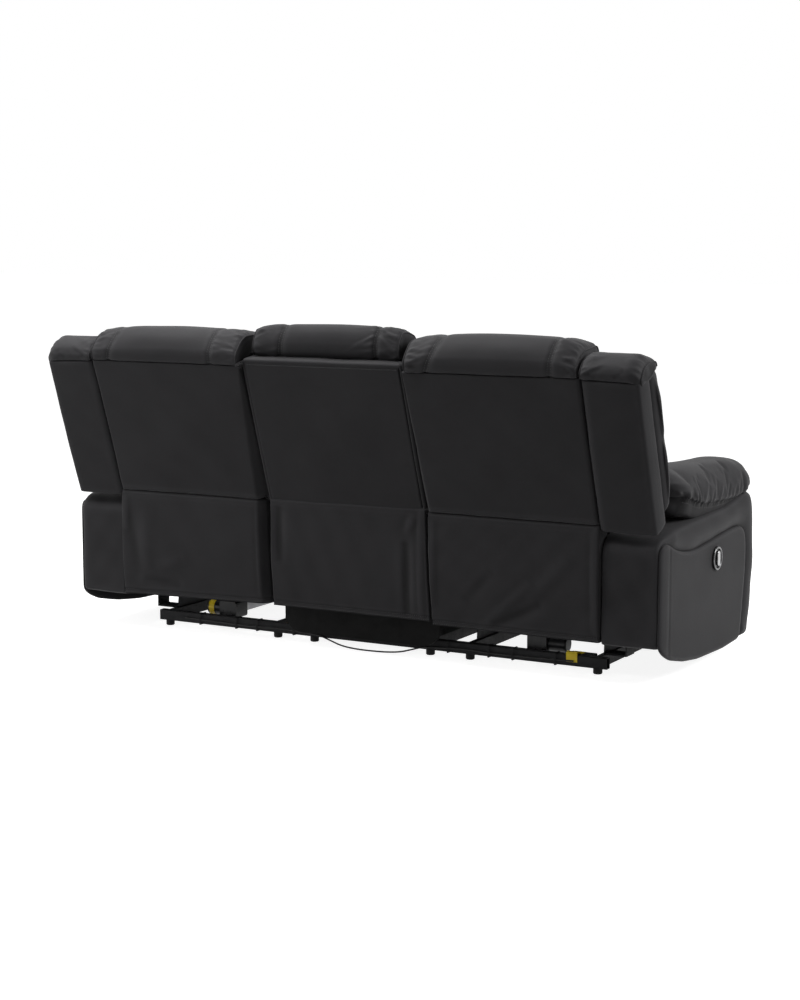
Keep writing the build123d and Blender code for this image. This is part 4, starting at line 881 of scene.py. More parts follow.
PANEL_EDGE = [
    (0.300, 0.405), (0.296, 0.413), (0.284, 0.4195), (0.268, 0.423), (0.237, 0.415), (0.199, 0.399),
    (0.148, 0.386), (0.097, 0.378), (0.031, 0.3745), (-0.035, 0.378), (-0.102, 0.383), (-0.170, 0.389),
    (-0.240, 0.394), (-0.312, 0.3965), (-0.365, 0.392), (-0.394, 0.372), (-0.403, 0.335), (-0.402, 0.257),
    (-0.386, 0.158), (-0.366, 0.045),
]
PANEL_SWEEP = [
    (-0.352, 0.039), (-0.209, 0.034), (-0.003, 0.041), (0.115, 0.055), (0.218, 0.077), (0.268, 0.098),
    (0.302, 0.122),
]
PANEL_POINTS = 260
PANEL_LAYERS = (
    (1.0150, 0.002), (1.0180, 0), (1.0225, 0), (1.0255, 0.0015), (1.0272, 0.0042), (1.0280, 0.0085),
)
PANEL_BACK, PANEL_ROLL, PANEL_CREASE = 0.302, 0.009, 0.0012


def through(knots, values, at):
    """A smooth curve through values at knots, read at other places."""
    knots, values = np.array(knots, float), np.array(values, float)
    slope = np.gradient(values, knots, axis=0)
    k = np.clip(np.searchsorted(knots, at) - 1, 0, len(knots) - 2)
    span = knots[k + 1] - knots[k]
    t = (at - knots[k]) / span
    if values.ndim > 1:
        t, span = t[:, None], span[:, None]
    return (
        (2 * t**3 - 3 * t**2 + 1) * values[k] + (t**3 - 2 * t**2 + t) * span * slope[k]
        + (3 * t**2 - 2 * t**3) * values[k + 1] + (t**3 - t**2) * span * slope[k + 1]
    )


wave = through(distances(PANEL_EDGE), PANEL_EDGE, np.linspace(0, distances(PANEL_EDGE)[-1], 240))
edge = np.vstack([wave, PANEL_SWEEP, wave[:1]])
run = distances(edge)
even = np.linspace(0, run[-1], PANEL_POINTS, endpoint=False)
panel_edge = np.column_stack([np.interp(even, run, edge[:, 0]), np.interp(even, run, edge[:, 1])])
for _ in range(6):
    panel_edge = panel_edge / 2 + (np.roll(panel_edge, 1, 0) + np.roll(panel_edge, -1, 0)) / 4
tangent = np.roll(panel_edge, -1, 0) - np.roll(panel_edge, 1, 0)
panel_out = np.column_stack([-tangent[:, 1], tangent[:, 0]]) / np.linalg.norm(tangent, axis=1)[:, None]
if (panel_out * (panel_edge - panel_edge.mean(0))).sum() < 0:
    panel_out = -panel_out


def from_segment(points, a, b):
    """Each point's distance from a segment, and the share of the segment before the nearest spot."""
    share = np.clip((points - a) @ (b - a) / ((b - a) @ (b - a)), 0, 1)
    return np.linalg.norm(points - a - share[:, None] * (b - a), axis=1), share


def beside(points, line):
    """Distance of each point from a closed line, and whether it lies inside it."""
    gap = np.full(len(points), 9.0)
    inside = np.zeros(len(points), bool)
    for a, b in zip(line, np.roll(line, -1, 0)):
        gap = np.minimum(gap, from_segment(points, a, b)[0])
        crossed = (a[1] > points[:, 1]) != (b[1] > points[:, 1])
        if crossed.any():
            reach = a[0] + (points[:, 1] - a[1]) * (b[0] - a[0]) / (b[1] - a[1] + 1e-12)
            inside ^= crossed & (points[:, 0] < reach)
    return gap, inside


arm_edge = outline(ARM_OUTLINE, ARM_ROUNDS, [0] * len(ARM_OUTLINE), ARM_COUNTS)
arm_rings = []
for x in stations(ARM_IN, ARM_OUT, ARM_RIM, 0.013):
    pull = rounding(x, ARM_IN - 0.009, ARM_OUT, ARM_RIM)
    ring = arm_edge.mean(0) + (arm_edge - arm_edge.mean(0)) * (1 - pull / ARM_SPAN)
    arm_rings.append(np.column_stack([np.full(len(ring), x), ring]))
arm_body = skin("left_arm_body", arm_rings, leatherette, caps=34)
place = coordinates(arm_body)
outer = place[:, 0] > ARM_OUT - 0.016
from_panel, under_panel = beside(place[:, 1:], panel_edge)
from_rim, _ = beside(place[:, 1:], arm_edge)
share = from_panel / (from_panel + from_rim + 1e-6)
swell = ARM_SWELL * np.sin(math.pi * np.clip(share, 0, 1)) ** 0.7
swell *= np.clip((from_panel + from_rim) / 0.05, 0, 1)
place[:, 0] += np.where(outer & ~under_panel, swell, 0)
reshape(arm_body, place)
softened(arm_body, 0.0012, 0.12, 7)
mark_folds(arm_body)

panel_rings = []
for x, pull in PANEL_LAYERS:
    ring = panel_edge - panel_out * pull
    panel_rings.append(np.column_stack([np.full(len(ring), x), ring]))
arm_panel = skin("left_arm_panel", panel_rings, leatherette, caps=48)
place = coordinates(arm_panel)
from_rear = np.clip((PANEL_BACK - place[:, 1]) / 0.050, 0, 1)
roll = PANEL_ROLL * (1 - np.sqrt(1 - (1 - from_rear) ** 2))
roll += PANEL_CREASE * np.exp(-(((place[:, 1] - 0.240) / 0.005) ** 2))
place[:, 0] -= roll * np.clip((place[:, 0] - 1.0165) / 0.0115, 0, 1)
reshape(arm_panel, place)
mark_folds(arm_panel)

for side, way in SIDES:
    for piece, node in ((arm_body, "arm_frame"), (arm_panel, "arm_outer_panel")):
        fitted(at_end(piece, way), "base", f"{side}_{node}")

# Arm pads: fibre-filled pillow tops. A plain band is sewn round the foot of the pad, and the larger
# top cover is gathered into the band's seam, so that short folds run up from it.
PAD_FORM = [
    (0, 14, 16), (0.035, 4, 3), (0.166, 0, -1), (0.30, 0, 0), (0.5, 0, 7), (0.66, 0, 11),
    (0.83, 2, 15), (0.94, 8, 30), (1, 22, 64),
]
PAD_FOOT = [
    (0, 480, 536), (0.076, 476, 526), (0.153, 464, 514), (0.289, 452, 499), (0.451, 445.5, 491),
    (0.574, 449, 487), (0.720, 462, 486), (0.884, 483, 491), (1, 502, 508),
]
PAD_COUNTS = (20, 24, 20, 14)
BAND, BAND_TUCK, BAND_SEAM = 4, (0.003, 0.012), 0.0055
PAD_PUFF, PAD_FOLDS = 0.007, (0.0085, 0.080, 0.032)
PAD_MIDDLE, PAD_HALF, PAD_CUT, PAD_TOP, PAD_REAR, PAD_LONG = 0.932, 0.0865, 0.085, 0.602, 0.194, 0.678
pad_places = np.linspace(0, 1, 90)
pad_shape = through([row[0] for row in PAD_FORM], [row[1:] for row in PAD_FORM], pad_places) / 1000
pad_foot = through([row[0] for row in PAD_FOOT], [row[1:] for row in PAD_FOOT], pad_places) / 1000
pad_rings = []
for share, (narrow, drop), (low, seam) in zip(pad_places, pad_shape, pad_foot):
    left, right, high = PAD_MIDDLE - PAD_HALF + narrow, PAD_MIDDLE + PAD_HALF - narrow, PAD_TOP - drop
    section = [(left, low), (left, high), (right, high), (right, low)]
    ring = outline(section, (0.010, 0.050, 0.050, 0.010), (0.003, 0.010, 0.003, 0), PAD_COUNTS)
    height = (ring[:, 1] - low) / (high - low)
    band, level = (seam - low) / (high - low), BAND / PAD_COUNTS[0]
    above = band + (height - level) * (1 - band) / (1 - level)
    height = np.where(height < level, height * band / level, above)
    puff = PAD_PUFF * np.sin(math.pi * np.clip((height - band) / (0.8 - 0.8 * band), 0, 1))
    puff -= np.where(height < band, BAND_TUCK[0] + BAND_TUCK[1] * (1 - height / max(band, 1e-3)), 0)
    cut = PAD_CUT * np.clip(1 - (height - band) / 0.45, 0, 1) * (1 - share) ** 2
    off = ring[:, 0] - PAD_MIDDLE
    aside = np.clip((np.abs(off) - 0.04) / 0.03, 0, 1) * np.sign(off)
    pad_rings.append(np.column_stack(
        [ring[:, 0] + puff * aside, PAD_REAR - PAD_LONG * share - cut, low + height * (high - low)]
    ))
arm_pad = skin("left_arm_pad_cover", pad_rings, leatherette, caps=7, bulge=0.012)
around = sum(PAD_COUNTS)
count = len(pad_places) * around
index = np.tile(np.arange(around), len(pad_places))
place, normal = coordinates(arm_pad), vertex_normals(arm_pad)
steps_up = np.where(index < around // 2, index - BAND, sum(PAD_COUNTS[:3]) - BAND - index)
hold = np.zeros(len(place))
hold[:count][(steps_up <= 0) | (index >= sum(PAD_COUNTS[:3]))] = 1
place[:count] -= normal[:count] * (BAND_SEAM * np.exp(-((steps_up / 1.1) ** 2)))[:, None]
reshape(arm_pad, place)
for outer_side, seed in ((True, 11), (False, 12)):
    mine = (index >= around // 2 - 8) if outer_side else (index < around // 2 - 8)
    away = np.where(mine, steps_up * 0.0075, -1.0)
    gathered(arm_pad, place[:count, 1], away, *PAD_FOLDS, seed)
inflate(arm_pad, hold, 3.0, 0.015, 0.010, bend=1.5)
mark_folds(arm_pad)
# Painted shade: the band below the seam is darkened through its fold value.
shade_painted(arm_pad, np.flatnonzero(steps_up < 0))
smoothed(arm_pad)
pad_points = coordinates(arm_pad)[:count].reshape(len(pad_places), around, 3)
band_rows = [(pad_points[2:-2, k], False) for k in (BAND - 1, sum(PAD_COUNTS[:3]) - BAND + 1)]
for side, way in SIDES:
    pad = at_end(arm_pad, way)
    fitted(pad, "base", f"{side}_arm_pad")
    stitched(f"{side}_arm_pad_stitches", rows_at_end(band_rows, way), pad, "base")

# Controls: a chromed ring pressed into each arm panel, a black recess, and a chromed rocker
# with a raised bar across its middle. Both chromes have dim colours as painted shade in their reflections.
# Painted shade: both chromes are given dim colours that stand in for dark reflections.
chrome = coated("chrome", (0.20, 0.20, 0.21), (0.28, 0.28, 0.28), 0.14, 1.0, 300, 0.00003)
# Painted shade: the ring is a darker copy of the chrome.
dark_chrome = coated("dark_chrome", (0.06, 0.06, 0.065), (0.10, 0.10, 0.10), 0.14, 1.0, 300, 0.00003)
paint(dark_chrome, "control_bezels")
paint(gloss_plastic, "control_faces")
for side, _ in SIDES:
    paint(chrome, f"{side}_control_rocker")

# End backs: a timber frame covered behind by one padded panel, whose edges turn round its sides.
# In front lie two plump tiers, and a head pillow is sewn along the top.
RECLINE, PIVOT_Y, PIVOT_Z = math.radians(19.1), 0.321, 0.469
COVER_THICK, COVER_OUT, COVER_HIGH, COVER_PUFF = 0.012, 0.837, 0.4525, 0.004
COVER_FORMS = {"left": (0.2845, 0.034), "right": (0.2810, 0.0155)}
COVER_ROUNDS = (0, 0.012, 0.006, 0.008, 0)
COVER_RISE = [(0.0005, 0.030), (0.0005, 0.0), (COVER_HIGH, 0.0), (COVER_HIGH, 0.030)]
RISE_ROUNDS = (0, 0.004, 0.005, 0)
TIERS = (("lower", -0.116, 0.199, 30), ("upper", 0.2085, 0.4455, 34))


def on_back(forward, up):
    return (
        PIVOT_Y + up * math.sin(RECLINE) - forward * math.cos(RECLINE),
        PIVOT_Z + up * math.cos(RECLINE) + forward * math.sin(RECLINE),
    )


def back_section(corners):
    return [on_back(*corner) for corner in corners]


def turned(points, radii, places, like=None):
    """A line with rounded corners, read at distances along its sharp form, or along a similar line."""
    points = np.array(points, float)
    run = distances(points)
    if like is not None:
        places = np.interp(places, distances(like), run)
    line = np.column_stack([np.interp(places, run, points[:, axis]) for axis in (0, 1)])
    for k in range(1, len(points) - 1):
        back, ahead = run[k] - run[k - 1], run[k + 1] - run[k]
        radius = min(radii[k], 0.48 * back, 0.48 * ahead)
        near = np.abs(places - run[k]) < radius
        before = points[k] + (points[k - 1] - points[k]) / back * radius
        after = points[k] + (points[k + 1] - points[k]) / ahead * radius
        u = ((places[near] - run[k]) / radius + 1)[:, None] / 2
        line[near] = (1 - u) ** 2 * before + 2 * u * (1 - u) * points[k] + u * u * after
    return line


def turned_places(points, radii, step):
    """Distances along a line, a step apart, and closer together in its corners."""
    run = distances(points)
    places = [np.linspace(0, run[-1], round(run[-1] / step) + 1)]
    places += [run[k] + np.linspace(-radii[k], radii[k], 13) for k in range(1, len(points) - 1)]
    places = np.unique(np.round(np.concatenate(places), 5))
    return places[np.r_[True, np.diff(places) > 0.0008]]


def draped(name, rows):
    """An open skin over rows of equal length, facing the rear."""
    rows = np.array(rows)
    count, across = rows.shape[:2]
    faces = [
        (r * across + c, r * across + c + 1, (r + 1) * across + c + 1, (r + 1) * across + c)
        for r in range(count - 1)
        for c in range(across - 1)
    ]
    piece = add_piece(name, rows.reshape(-1, 3), faces, leatherette)
    if vertex_normals(piece)[:, 1].mean() < 0:
        piece.data.flip_normals()
    return piece


def backed(piece, thick):
    wall = piece.modifiers.new("wall", "SOLIDIFY")
    wall.thickness = thick
    wall.offset = -1


def cover_line(edge, wall):
    """A cover's outline in plan: its inner corner is cut off towards the foot."""
    corner = (wall, 1.05 * (edge - wall))
    return [(COVER_OUT, 0.090), (COVER_OUT, 0.0), (edge, 0.0), corner, (wall, 0.110)]


def back_pad(name, low, high, rear, face, rounds, crowns, counts, middle, half, reach, seed, filling):
    """A cushion that lies on a back's front, held along its rear side."""
    section = back_section([(rear, low), (rear, high), (face, high), (face, low)])
    points = np.arange(sum(counts))
    return panelled(
        name, section, rounds, crowns, counts, middle, half, reach, 0.0105, (0.0030, 0.045, 0.024), seed,
        points <= counts[0], filling, (counts[0] + 1, len(points) - 1),
    )


covers = {}
for side, way in SIDES:
    paint(dust_cloth, f"{side}_back_frame")
    edge, shift = COVER_FORMS[side]
    wall = edge - 0.0015
    plan = cover_line(edge + shift / 2, wall)
    places = turned_places(plan, COVER_ROUNDS, 0.009)
    rows = []
    for up, sink in turned(COVER_RISE, RISE_ROUNDS, turned_places(COVER_RISE, RISE_ROUNDS, 0.009)):
        full = np.sin(math.pi * np.clip(up / 0.452, 0, 1)) ** 0.6
        inner = edge + shift * np.clip(1 - up / COVER_HIGH, 0, 1)
        row = []
        for x, forward in turned(cover_line(inner, wall), COVER_ROUNDS, places, plan):
            flat = max(0.0, 1 - forward / 0.014)
            across = np.clip((x - inner) / (COVER_OUT - inner), 0, 1)
            puff = COVER_PUFF * full * flat * math.sin(math.pi * across) ** 0.5
            y, z = on_back(max(forward, sink if flat > 0 else forward) - puff, up)
            row.append((way * x, y, z))
        rows.append(row)
    covers[side] = draped(f"{side}_rear_cover", rows)
    softened(covers[side], 0.0008, 0.16, 21)
    mark_folds(covers[side])

back_tiers = []
for tier, low, high, seed in TIERS:
    back_tiers.append((tier, *back_pad(
        f"left_{tier}_back_cushion", low, high, 0.0565, 0.178, (0.012, 0.03, 0.05, 0.05),
        (0, 0.006, 0.016, 0.006), (24, 10, 26, 10), SEAT_MIDDLE, 0.265, 0.028, seed, (4.0, 0.025, 0.010),
    )))
for side, way in SIDES:
    backed(covers[side], COVER_THICK)
    fitted(covers[side], f"{side}_back", f"{side}_back_cover")
    for tier, piece, rows in back_tiers:
        twin = at_end(piece, way)
        fitted(twin, f"{side}_back", f"{side}_back_cushion")
        stitched(f"{side}_{tier}_back_stitches", rows_at_end(rows, way), twin, f"{side}_back")

# Head pillows: fibre-filled rolls in three panels. Double seams gather the outer panels into short
# folds, and the flat ends are closed by gussets with a piped edge.
PILLOW_COUNTS = (14, 16, 18, 22)
PILLOW_END, PILLOW_HELD, GUSSET_FOLDS = 0.075, 0.012, (0.0042, 0.055, 0.014)
END_FOLDS = ((0.0026, 0.045, 0.018, 0.5), (0.0026, 0.045, 0.018, 0.5))
END_FALLS = {"left": (0.020, 0.020), "right": (0.044, 0.020)}
END_SEAMS = {"left": ((0.388, 0.774), (0.0, -0.027)), "right": ((-0.747, -0.356), (-0.004, -0.035))}
END_CROWNS = {"left": 0.532, "right": 0.537}


def welts(piece, places, around, top):
    """The two piped edges of a roll, over its top from seam to seam."""
    skin_points = coordinates(piece)
    return [(skin_points[k * around :][:top], False) for k in (2, len(places) - 3)]


def head_pillow(name, node, corners, rounds, crowns, low, high, seams, leans, folds, falls, arch, seed, body):
    """A roll from low to high along X. Each seam has its lean and its folds (depth, reach, pitch and the
    inner panel's share), and each end its fall."""
    middle, half = (low + high) / 2, (high - low) / 2

    def section(place):
        end = min(half - abs(place - middle), PILLOW_END) / PILLOW_END
        fall = falls[int(place > middle)] * (1 - math.sqrt(1 - (1 - end) ** 2))
        fall += arch * abs((place - middle) / half) ** 2.2
        return back_section([(f, up - fall * (k in (1, 2))) for k, (f, up) in enumerate(corners)])

    piece, places = cushion(
        name, section, rounds, crowns, PILLOW_COUNTS, low, high, 0.007, 0.0075, seams, 0.009
    )
    points = np.arange(sum(PILLOW_COUNTS))
    around, top = len(points), sum(PILLOW_COUNTS[:3])
    hold = sewn_down(piece, places, around, seams, 0.003, 0.007)
    along = girth(piece, places, around)
    station = np.repeat(places, around)
    for k, (seam, (depth, reach, pitch, within)) in enumerate(zip(seams, folds)):
        for way in (-1, 1):
            share = within if (middle - seam) * way > 0 else 1.0
            away = (station - seam) * way - ROW_OUT
            gathered(piece, along, away, depth * share, reach * share, pitch, seed + 2 * k + (way > 0))
    for way, end in ((1, low), (-1, high)):
        gathered(piece, along, (station - end) * way - 0.008, *GUSSET_FOLDS, seed + 9 + way)
    softened(piece, 0.0007, 0.16, seed + 20)
    hold[: len(station)][(station < low + PILLOW_HELD) | (station > high - PILLOW_HELD)] = 1
    hold[len(station) :] = 1
    pinned(hold, places, (points > top) | (points < 2))
    inflate(piece, hold, 3.0, 0.0, 0.008, bend=10.0)
    place = coordinates(piece)
    rise = (place[:, 1] - PIVOT_Y) * math.sin(RECLINE) + (place[:, 2] - PIVOT_Z) * math.cos(RECLINE)
    rise -= corners[0][1]
    for seam, lean in zip(seams, leans):
        near = np.interp(station, [low, seam, high], [0, 1, 0])
        place[: len(station), 0] += lean * near * np.clip(rise[: len(station)] / 0.08, 0, 1.1)
    reshape(piece, place)
    mark_folds(piece)
    # Painted shade: the gusset ends are darkened through their fold value.
    shade_painted(piece, range(len(station), len(place)))
    smoothed(piece)
    fitted(piece, body, node)
    stitched(f"{name}_stitches", seam_rows(piece, places, around, seams, 0, top), piece, body)
    piped(f"{name}_piping", welts(piece, places, around, top), body)


for side, way in SIDES:
    middle, crown = way * SEAT_MIDDLE, END_CROWNS[side]
    head_pillow(
        f"{side}_head_roll", f"{side}_head_pillow",
        [(-0.001, 0.4532), (0.026, crown - 0.003), (0.117, crown), (0.180, 0.456)],
        (0.006, 0.036, 0.05, 0.03), (0.012, 0.011, 0.014, 0),
        middle - 0.274, middle + 0.274, *END_SEAMS[side], END_FOLDS, END_FALLS[side], 0.010,
        100 if way > 0 else 140, f"{side}_back",
    )

# Wings: narrow padded boards that join the end backs to the arms' line. A shell covers the board
# behind, a soft bolster lies in front, and a small gathered cap closes the top.
WING_LOW, WING_HIGH, WING_SPAN = 0.838, 1.0205, 0.173
SHELL_OUT, SHELL_DEEP, SHELL_FOOT, SHELL_TOP, SHELL_RIM = 1.0135, 0.063, -0.019, 0.4500, 0.005
SHELL_PLAN = [(WING_LOW, 0.0), (SHELL_OUT, 0.0), (WING_HIGH, SHELL_DEEP), (WING_LOW, SHELL_DEEP)]
SHELL_COUNTS = (24, 12, 20, 10)
CAP_HIGH, CAP_HELD, CAP_FOLDS = 1.021, 0.012, (0.0040, 0.050, 0.017)
CAP_COUNTS = (10, 14, 12, 16)
BOLSTER_COUNTS = (38, 8, 10, 18, 12, 8)
BOLSTER = [(0.0660, 0.012), (0.0660, 0.449), (0.132, 0.449), (0.130, 0.352), (0.143, 0.143), (0.118, 0.020)]
shell_rings = []
for up in stations(SHELL_FOOT, SHELL_TOP, SHELL_RIM, 0.010):
    plan = inset(SHELL_PLAN, rounding(up, SHELL_FOOT, SHELL_TOP, SHELL_RIM))
    ring = outline(plan, (0.022, 0.009, 0.008, 0.006), (0.002, 0.003, 0, 0), SHELL_COUNTS)
    bow = 0.002 * math.sin(math.pi * np.clip((up - SHELL_FOOT) / 0.469, 0, 1))
    slope = np.clip((ring[:, 0] - WING_LOW) / WING_SPAN, 0, 1) * (0.003 + 0.004 * np.clip(up / 0.45, 0, 1))
    slope -= 0.25 * ring[:, 1] * np.clip(1 - (up - SHELL_FOOT) / 0.10, 0, 1)
    y, z = on_back(ring[:, 1] - bow * (ring[:, 1] < 0.03), up - slope)
    shell_rings.append(np.column_stack([ring[:, 0], y, np.broadcast_to(z, y.shape)]))
wing_shell = skin("left_wing_shell", shell_rings, leatherette, caps=4)
softened(wing_shell, 0.0006, 0.12, 51)
mark_folds(wing_shell)
smoothed(wing_shell)


def cap_section(place):
    outer = np.clip((CAP_HIGH - place) / 0.046, 0, 1)
    inner = np.clip((place - WING_LOW) / 0.035, 0, 1)
    fall = 0.042 * (1 - math.sqrt(1 - (1 - outer) ** 2)) + 0.010 * (1 - math.sqrt(1 - (1 - inner) ** 2))
    seam = 0.4512 - 0.007 * (place - WING_LOW) / WING_SPAN
    sunk = 0.016 * (1 - outer) ** 2
    rear = [(-0.001 + sunk, seam - sunk), (0.013 + sunk, 0.491 - fall)]
    return back_section(rear + [(0.106, 0.493 - fall), (0.137, seam - 0.006)])


wing_cap, places = cushion(
    "left_wing_cap", cap_section, (0.006, 0.026, 0.03, 0.015), (0.007, 0.009, 0.008, 0), CAP_COUNTS,
    WING_LOW, CAP_HIGH, 0.009, 0.0075, (), 0.006,
)
points = np.arange(sum(CAP_COUNTS))
around, top = len(points), sum(CAP_COUNTS[:3])
along, station = girth(wing_cap, places, around), np.repeat(places, around)
for way, end, seed in ((1, WING_LOW, 61), (-1, CAP_HIGH, 62)):
    gathered(wing_cap, along, (station - end) * way - 0.006, *CAP_FOLDS, seed)
hold = np.ones(len(wing_cap.data.vertices))
free = (station > WING_LOW + CAP_HELD) & (station < CAP_HIGH - CAP_HELD)
hold[: len(station)][free & np.tile((points > 1) & (points < top), len(places))] = 0
inflate(wing_cap, hold, 3.0, 0.004, 0.006, bend=5.0)
mark_folds(wing_cap)
smoothed(wing_cap)
cap_welts = welts(wing_cap, places, around, top)

wing_bolster, places = cushion(
    "left_wing_bolster", back_section(BOLSTER), (0.008, 0.012, 0.025, 0.06, 0.06, 0.03), (0,) * 6,
    BOLSTER_COUNTS, WING_LOW + 0.001, WING_HIGH + 0.002, 0.026, 0.010, (), 0.004,
)
hold = np.zeros(len(wing_bolster.data.vertices))
pinned(hold, places, np.arange(sum(BOLSTER_COUNTS)) <= BOLSTER_COUNTS[0])
softened(wing_bolster, 0.0010, 0.10, 55)
inflate(wing_bolster, hold, 3.0, 0.004, 0.006, bend=8.0)
mark_folds(wing_bolster)
smoothed(wing_bolster)
for side, way in SIDES:
    for piece in (wing_shell, wing_cap, wing_bolster):
        fitted(at_end(piece, way), f"{side}_back", f"{side}_wing")
    piped(f"{side}_wing_cap_piping", rows_at_end(cap_welts, way), f"{side}_back")

# Rear flaps: single sheets of leatherette with double-stitched hems, which hang from the foot of
# each back and hide the mechanism. The end ones turn forward at their sides.
HEM, STITCH_UP, SHEET, FLAP_BELLY, FLAP_STEP = 0.014, 0.0045, 0.0016, 0.006, 0.0075
FLAP_OUT, FLAP_REAR, FLAP_TOP = 0.841, 0.3205, 0.4715
FLAP_ROUNDS = (0, 0.008, 0.006, 0.006, 0)
FLAP_FORMS = {"left": (0.319, 0.306, 0.022), "right": (0.288, 0.303, 0.002)}
FLAP_HEMS = {"left": (0.1275, 0.1400), "right": (0.1300, 0.1275)}
FLAP_RIDGES = {
    "left": [
        (0.025, 0.10, 0.025, 0.35, 0.004, 0.012), (0.05, 0.30, 0.12, 0.75, -0.004, 0.028),
        (0.16, 0.25, 0.15, 0.80, 0.004, 0.030), (0.18, 0.85, 0.38, 0.88, -0.004, 0.018),
        (0.28, 0.70, 0.42, 0.62, 0.003, 0.022), (0.97, 0.05, 0.975, 0.90, 0.003, 0.010),
    ],
    "right": [
        (0.33, 0.95, 0.59, 0.57, 0.004, 0.018), (0.41, 0.93, 0.65, 0.74, -0.005, 0.016),
        (0.62, 0.65, 0.80, 0.35, 0.003, 0.022), (0.37, 0.50, 0.24, 0.72, -0.004, 0.020),
        (0.025, 0.10, 0.03, 0.80, 0.003, 0.010), (0.97, 0.05, 0.975, 0.90, 0.003, 0.010),
    ],
}


def rear_flap(name, upper, lower, tops, hems, ridges, seed):
    """A hanging sheet between two plan lines of (x, y). Heights are given at its high and low x, and
    ridges are (u, v, u, v, height, width) folds."""
    upper, lower = np.array(upper), np.array(lower)
    x_high, x_low = upper[:, 0].max(), upper[:, 0].min()
    width = x_high - x_low
    across = np.clip((x_high - upper[:, 0]) / width, 0, 1)
    top, hem = tops[0] + (tops[1] - tops[0]) * across, hems[0] + (hems[1] - hems[0]) * across
    drop = float((top - hem).mean())
    rows = []
    count = round(drop / 0.0045)
    for r in range(count + 1):
        v = r / count
        belly = FLAP_BELLY * math.sin(math.pi * v) - FLAP_BELLY * v - 0.005 * math.exp(-((v / 0.02) ** 2))
        line = upper + (lower - upper) * v
        rows.append(np.column_stack([line[:, 0], line[:, 1] + belly, top + (hem - top) * v]))
    piece = draped(name, rows)
    place, normal = coordinates(piece), vertex_normals(piece)
    down = np.repeat(np.linspace(0, drop, count + 1), len(upper))
    spot = np.column_stack([x_high - place[:, 0], down])
    lift = np.zeros(len(place))
    for u0, v0, u1, v1, height, wide in ridges:
        a, b = np.array([u0 * width, v0 * drop]), np.array([u1 * width, v1 * drop])
        gap, share = from_segment(spot, a, b)
        lift += height * np.exp(-((gap / wide) ** 2)) * (0.55 + 0.45 * np.sin(math.pi * share))
    for row, depth in ((0.004, 0.0012), (HEM, 0.0024), (drop - HEM, 0.0018)):
        lift -= depth * np.exp(-(((drop - down - row) / 0.0035) ** 2))
    lift *= np.clip(down / 0.03, 0.15, 1)
    reshape(piece, place + normal * lift[:, None])
    softened(piece, 0.0007, 0.09, seed, np.clip(down / 0.05, 0, 1))
    mark_folds(piece)
    skin_points = coordinates(piece).reshape(count + 1, -1, 3)
    stitch_lines = [(skin_points[round(count * (1 - up / drop))], False) for up in (STITCH_UP, HEM)]
    backed(piece, SHEET)
    return piece, stitch_lines, (distances(upper)[-1], drop + 0.004)


def flap_line(inner, turn):
    """The plan of an end flap: both sides turn forward, and the inner corner is cut off."""
    return [
        (FLAP_OUT, FLAP_REAR - 0.060), (FLAP_OUT, FLAP_REAR), (inner, FLAP_REAR),
        (inner - turn, FLAP_REAR - 1.25 * turn), (inner - turn, FLAP_REAR - 0.090),
    ]


for side, way in SIDES:
    inner_top, inner_foot, turn = FLAP_FORMS[side]
    plan = flap_line(inner_top, turn)
    places = turned_places(plan, FLAP_ROUNDS, FLAP_STEP)
    upper = turned(plan, FLAP_ROUNDS, places)
    lower = turned(flap_line(inner_foot, turn), FLAP_ROUNDS, places, plan)
    if way < 0:
        upper, lower = upper[::-1] * (-1, 1), lower[::-1] * (-1, 1)
    flap, stitch_lines, size = rear_flap(
        f"{side}_rear_flap", upper, lower, (FLAP_TOP, FLAP_TOP), FLAP_HEMS[side], FLAP_RIDGES[side],
        200 + int(way),
    )
    stitched(f"{side}_rear_flap_stitches", stitch_lines, flap, f"{side}_seat")
    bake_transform(flap)
    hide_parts(f"{side}_back_flap")

# Centre back: a padded panel fixed to the base stands behind the fold-down table. The table board
# carries its own cushion in front and a head pillow on top, and folds forward on two hinges.
CENTRE_RIDGES = [
    (0.88, 0.35, 0.88, 0.93, -0.008, 0.016), (0.89, 0.20, 0.92, 0.10, 0.004, 0.014),
    (0.97, 0.05, 0.97, 0.95, 0.004, 0.010), (0.06, 0.10, 0.06, 0.55, -0.005, 0.016),
]
CENTRE_TOP = [(0.2735, 0.2965), (0.2735, 0.3165), (-0.2755, 0.3165), (-0.2755, 0.2965)]
CENTRE_LOW = [(0.2685, 0.2965), (0.2685, 0.3165), (-0.2900, 0.3165), (-0.2900, 0.2965)]
CENTRE_ROUNDS = (0, 0.008, 0.005, 0)
PANEL_LOW, PANEL_HIGH, PANEL_HALF, PANEL_REAR, PANEL_FACE = -0.027, 0.473, 0.2795, 0.0085, 0.0635
BORDER = np.array([
    (0, 12), (0.6, 7.5), (2, 4), (4.2, 1.4), (6.8, 0.4), (9.2, 0.1), (11, 0), (12.4, 0), (13.5, 0),
    (14.6, 0), (16, 0), (18.5, 0), (24, 0),
]) / 1000
GROOVE, GROOVE_WIDE, GROOVE_LEFT, GROOVE_RIGHT = 0.0135, 0.0020, 0.0012, 0.0065
RIM_DOWN, RIM_HALF, RIM_POINTS = 0.0185, 0.255, 60
TOP_CORNER, TOP_SLOPE, PANEL_BOW, WALL_STEPS, FACE_STEPS = 0.018, 0.011, 0.002, 6, 54
CENTRE_PILLOW = [(0.046, 0.4645), (0.060, 0.541), (0.127, 0.548), (0.162, 0.457)]
CENTRE_FOLDS = ((0.0036, 0.075, 0.021, 1.0), (0.0024, 0.040, 0.020, 0.3))

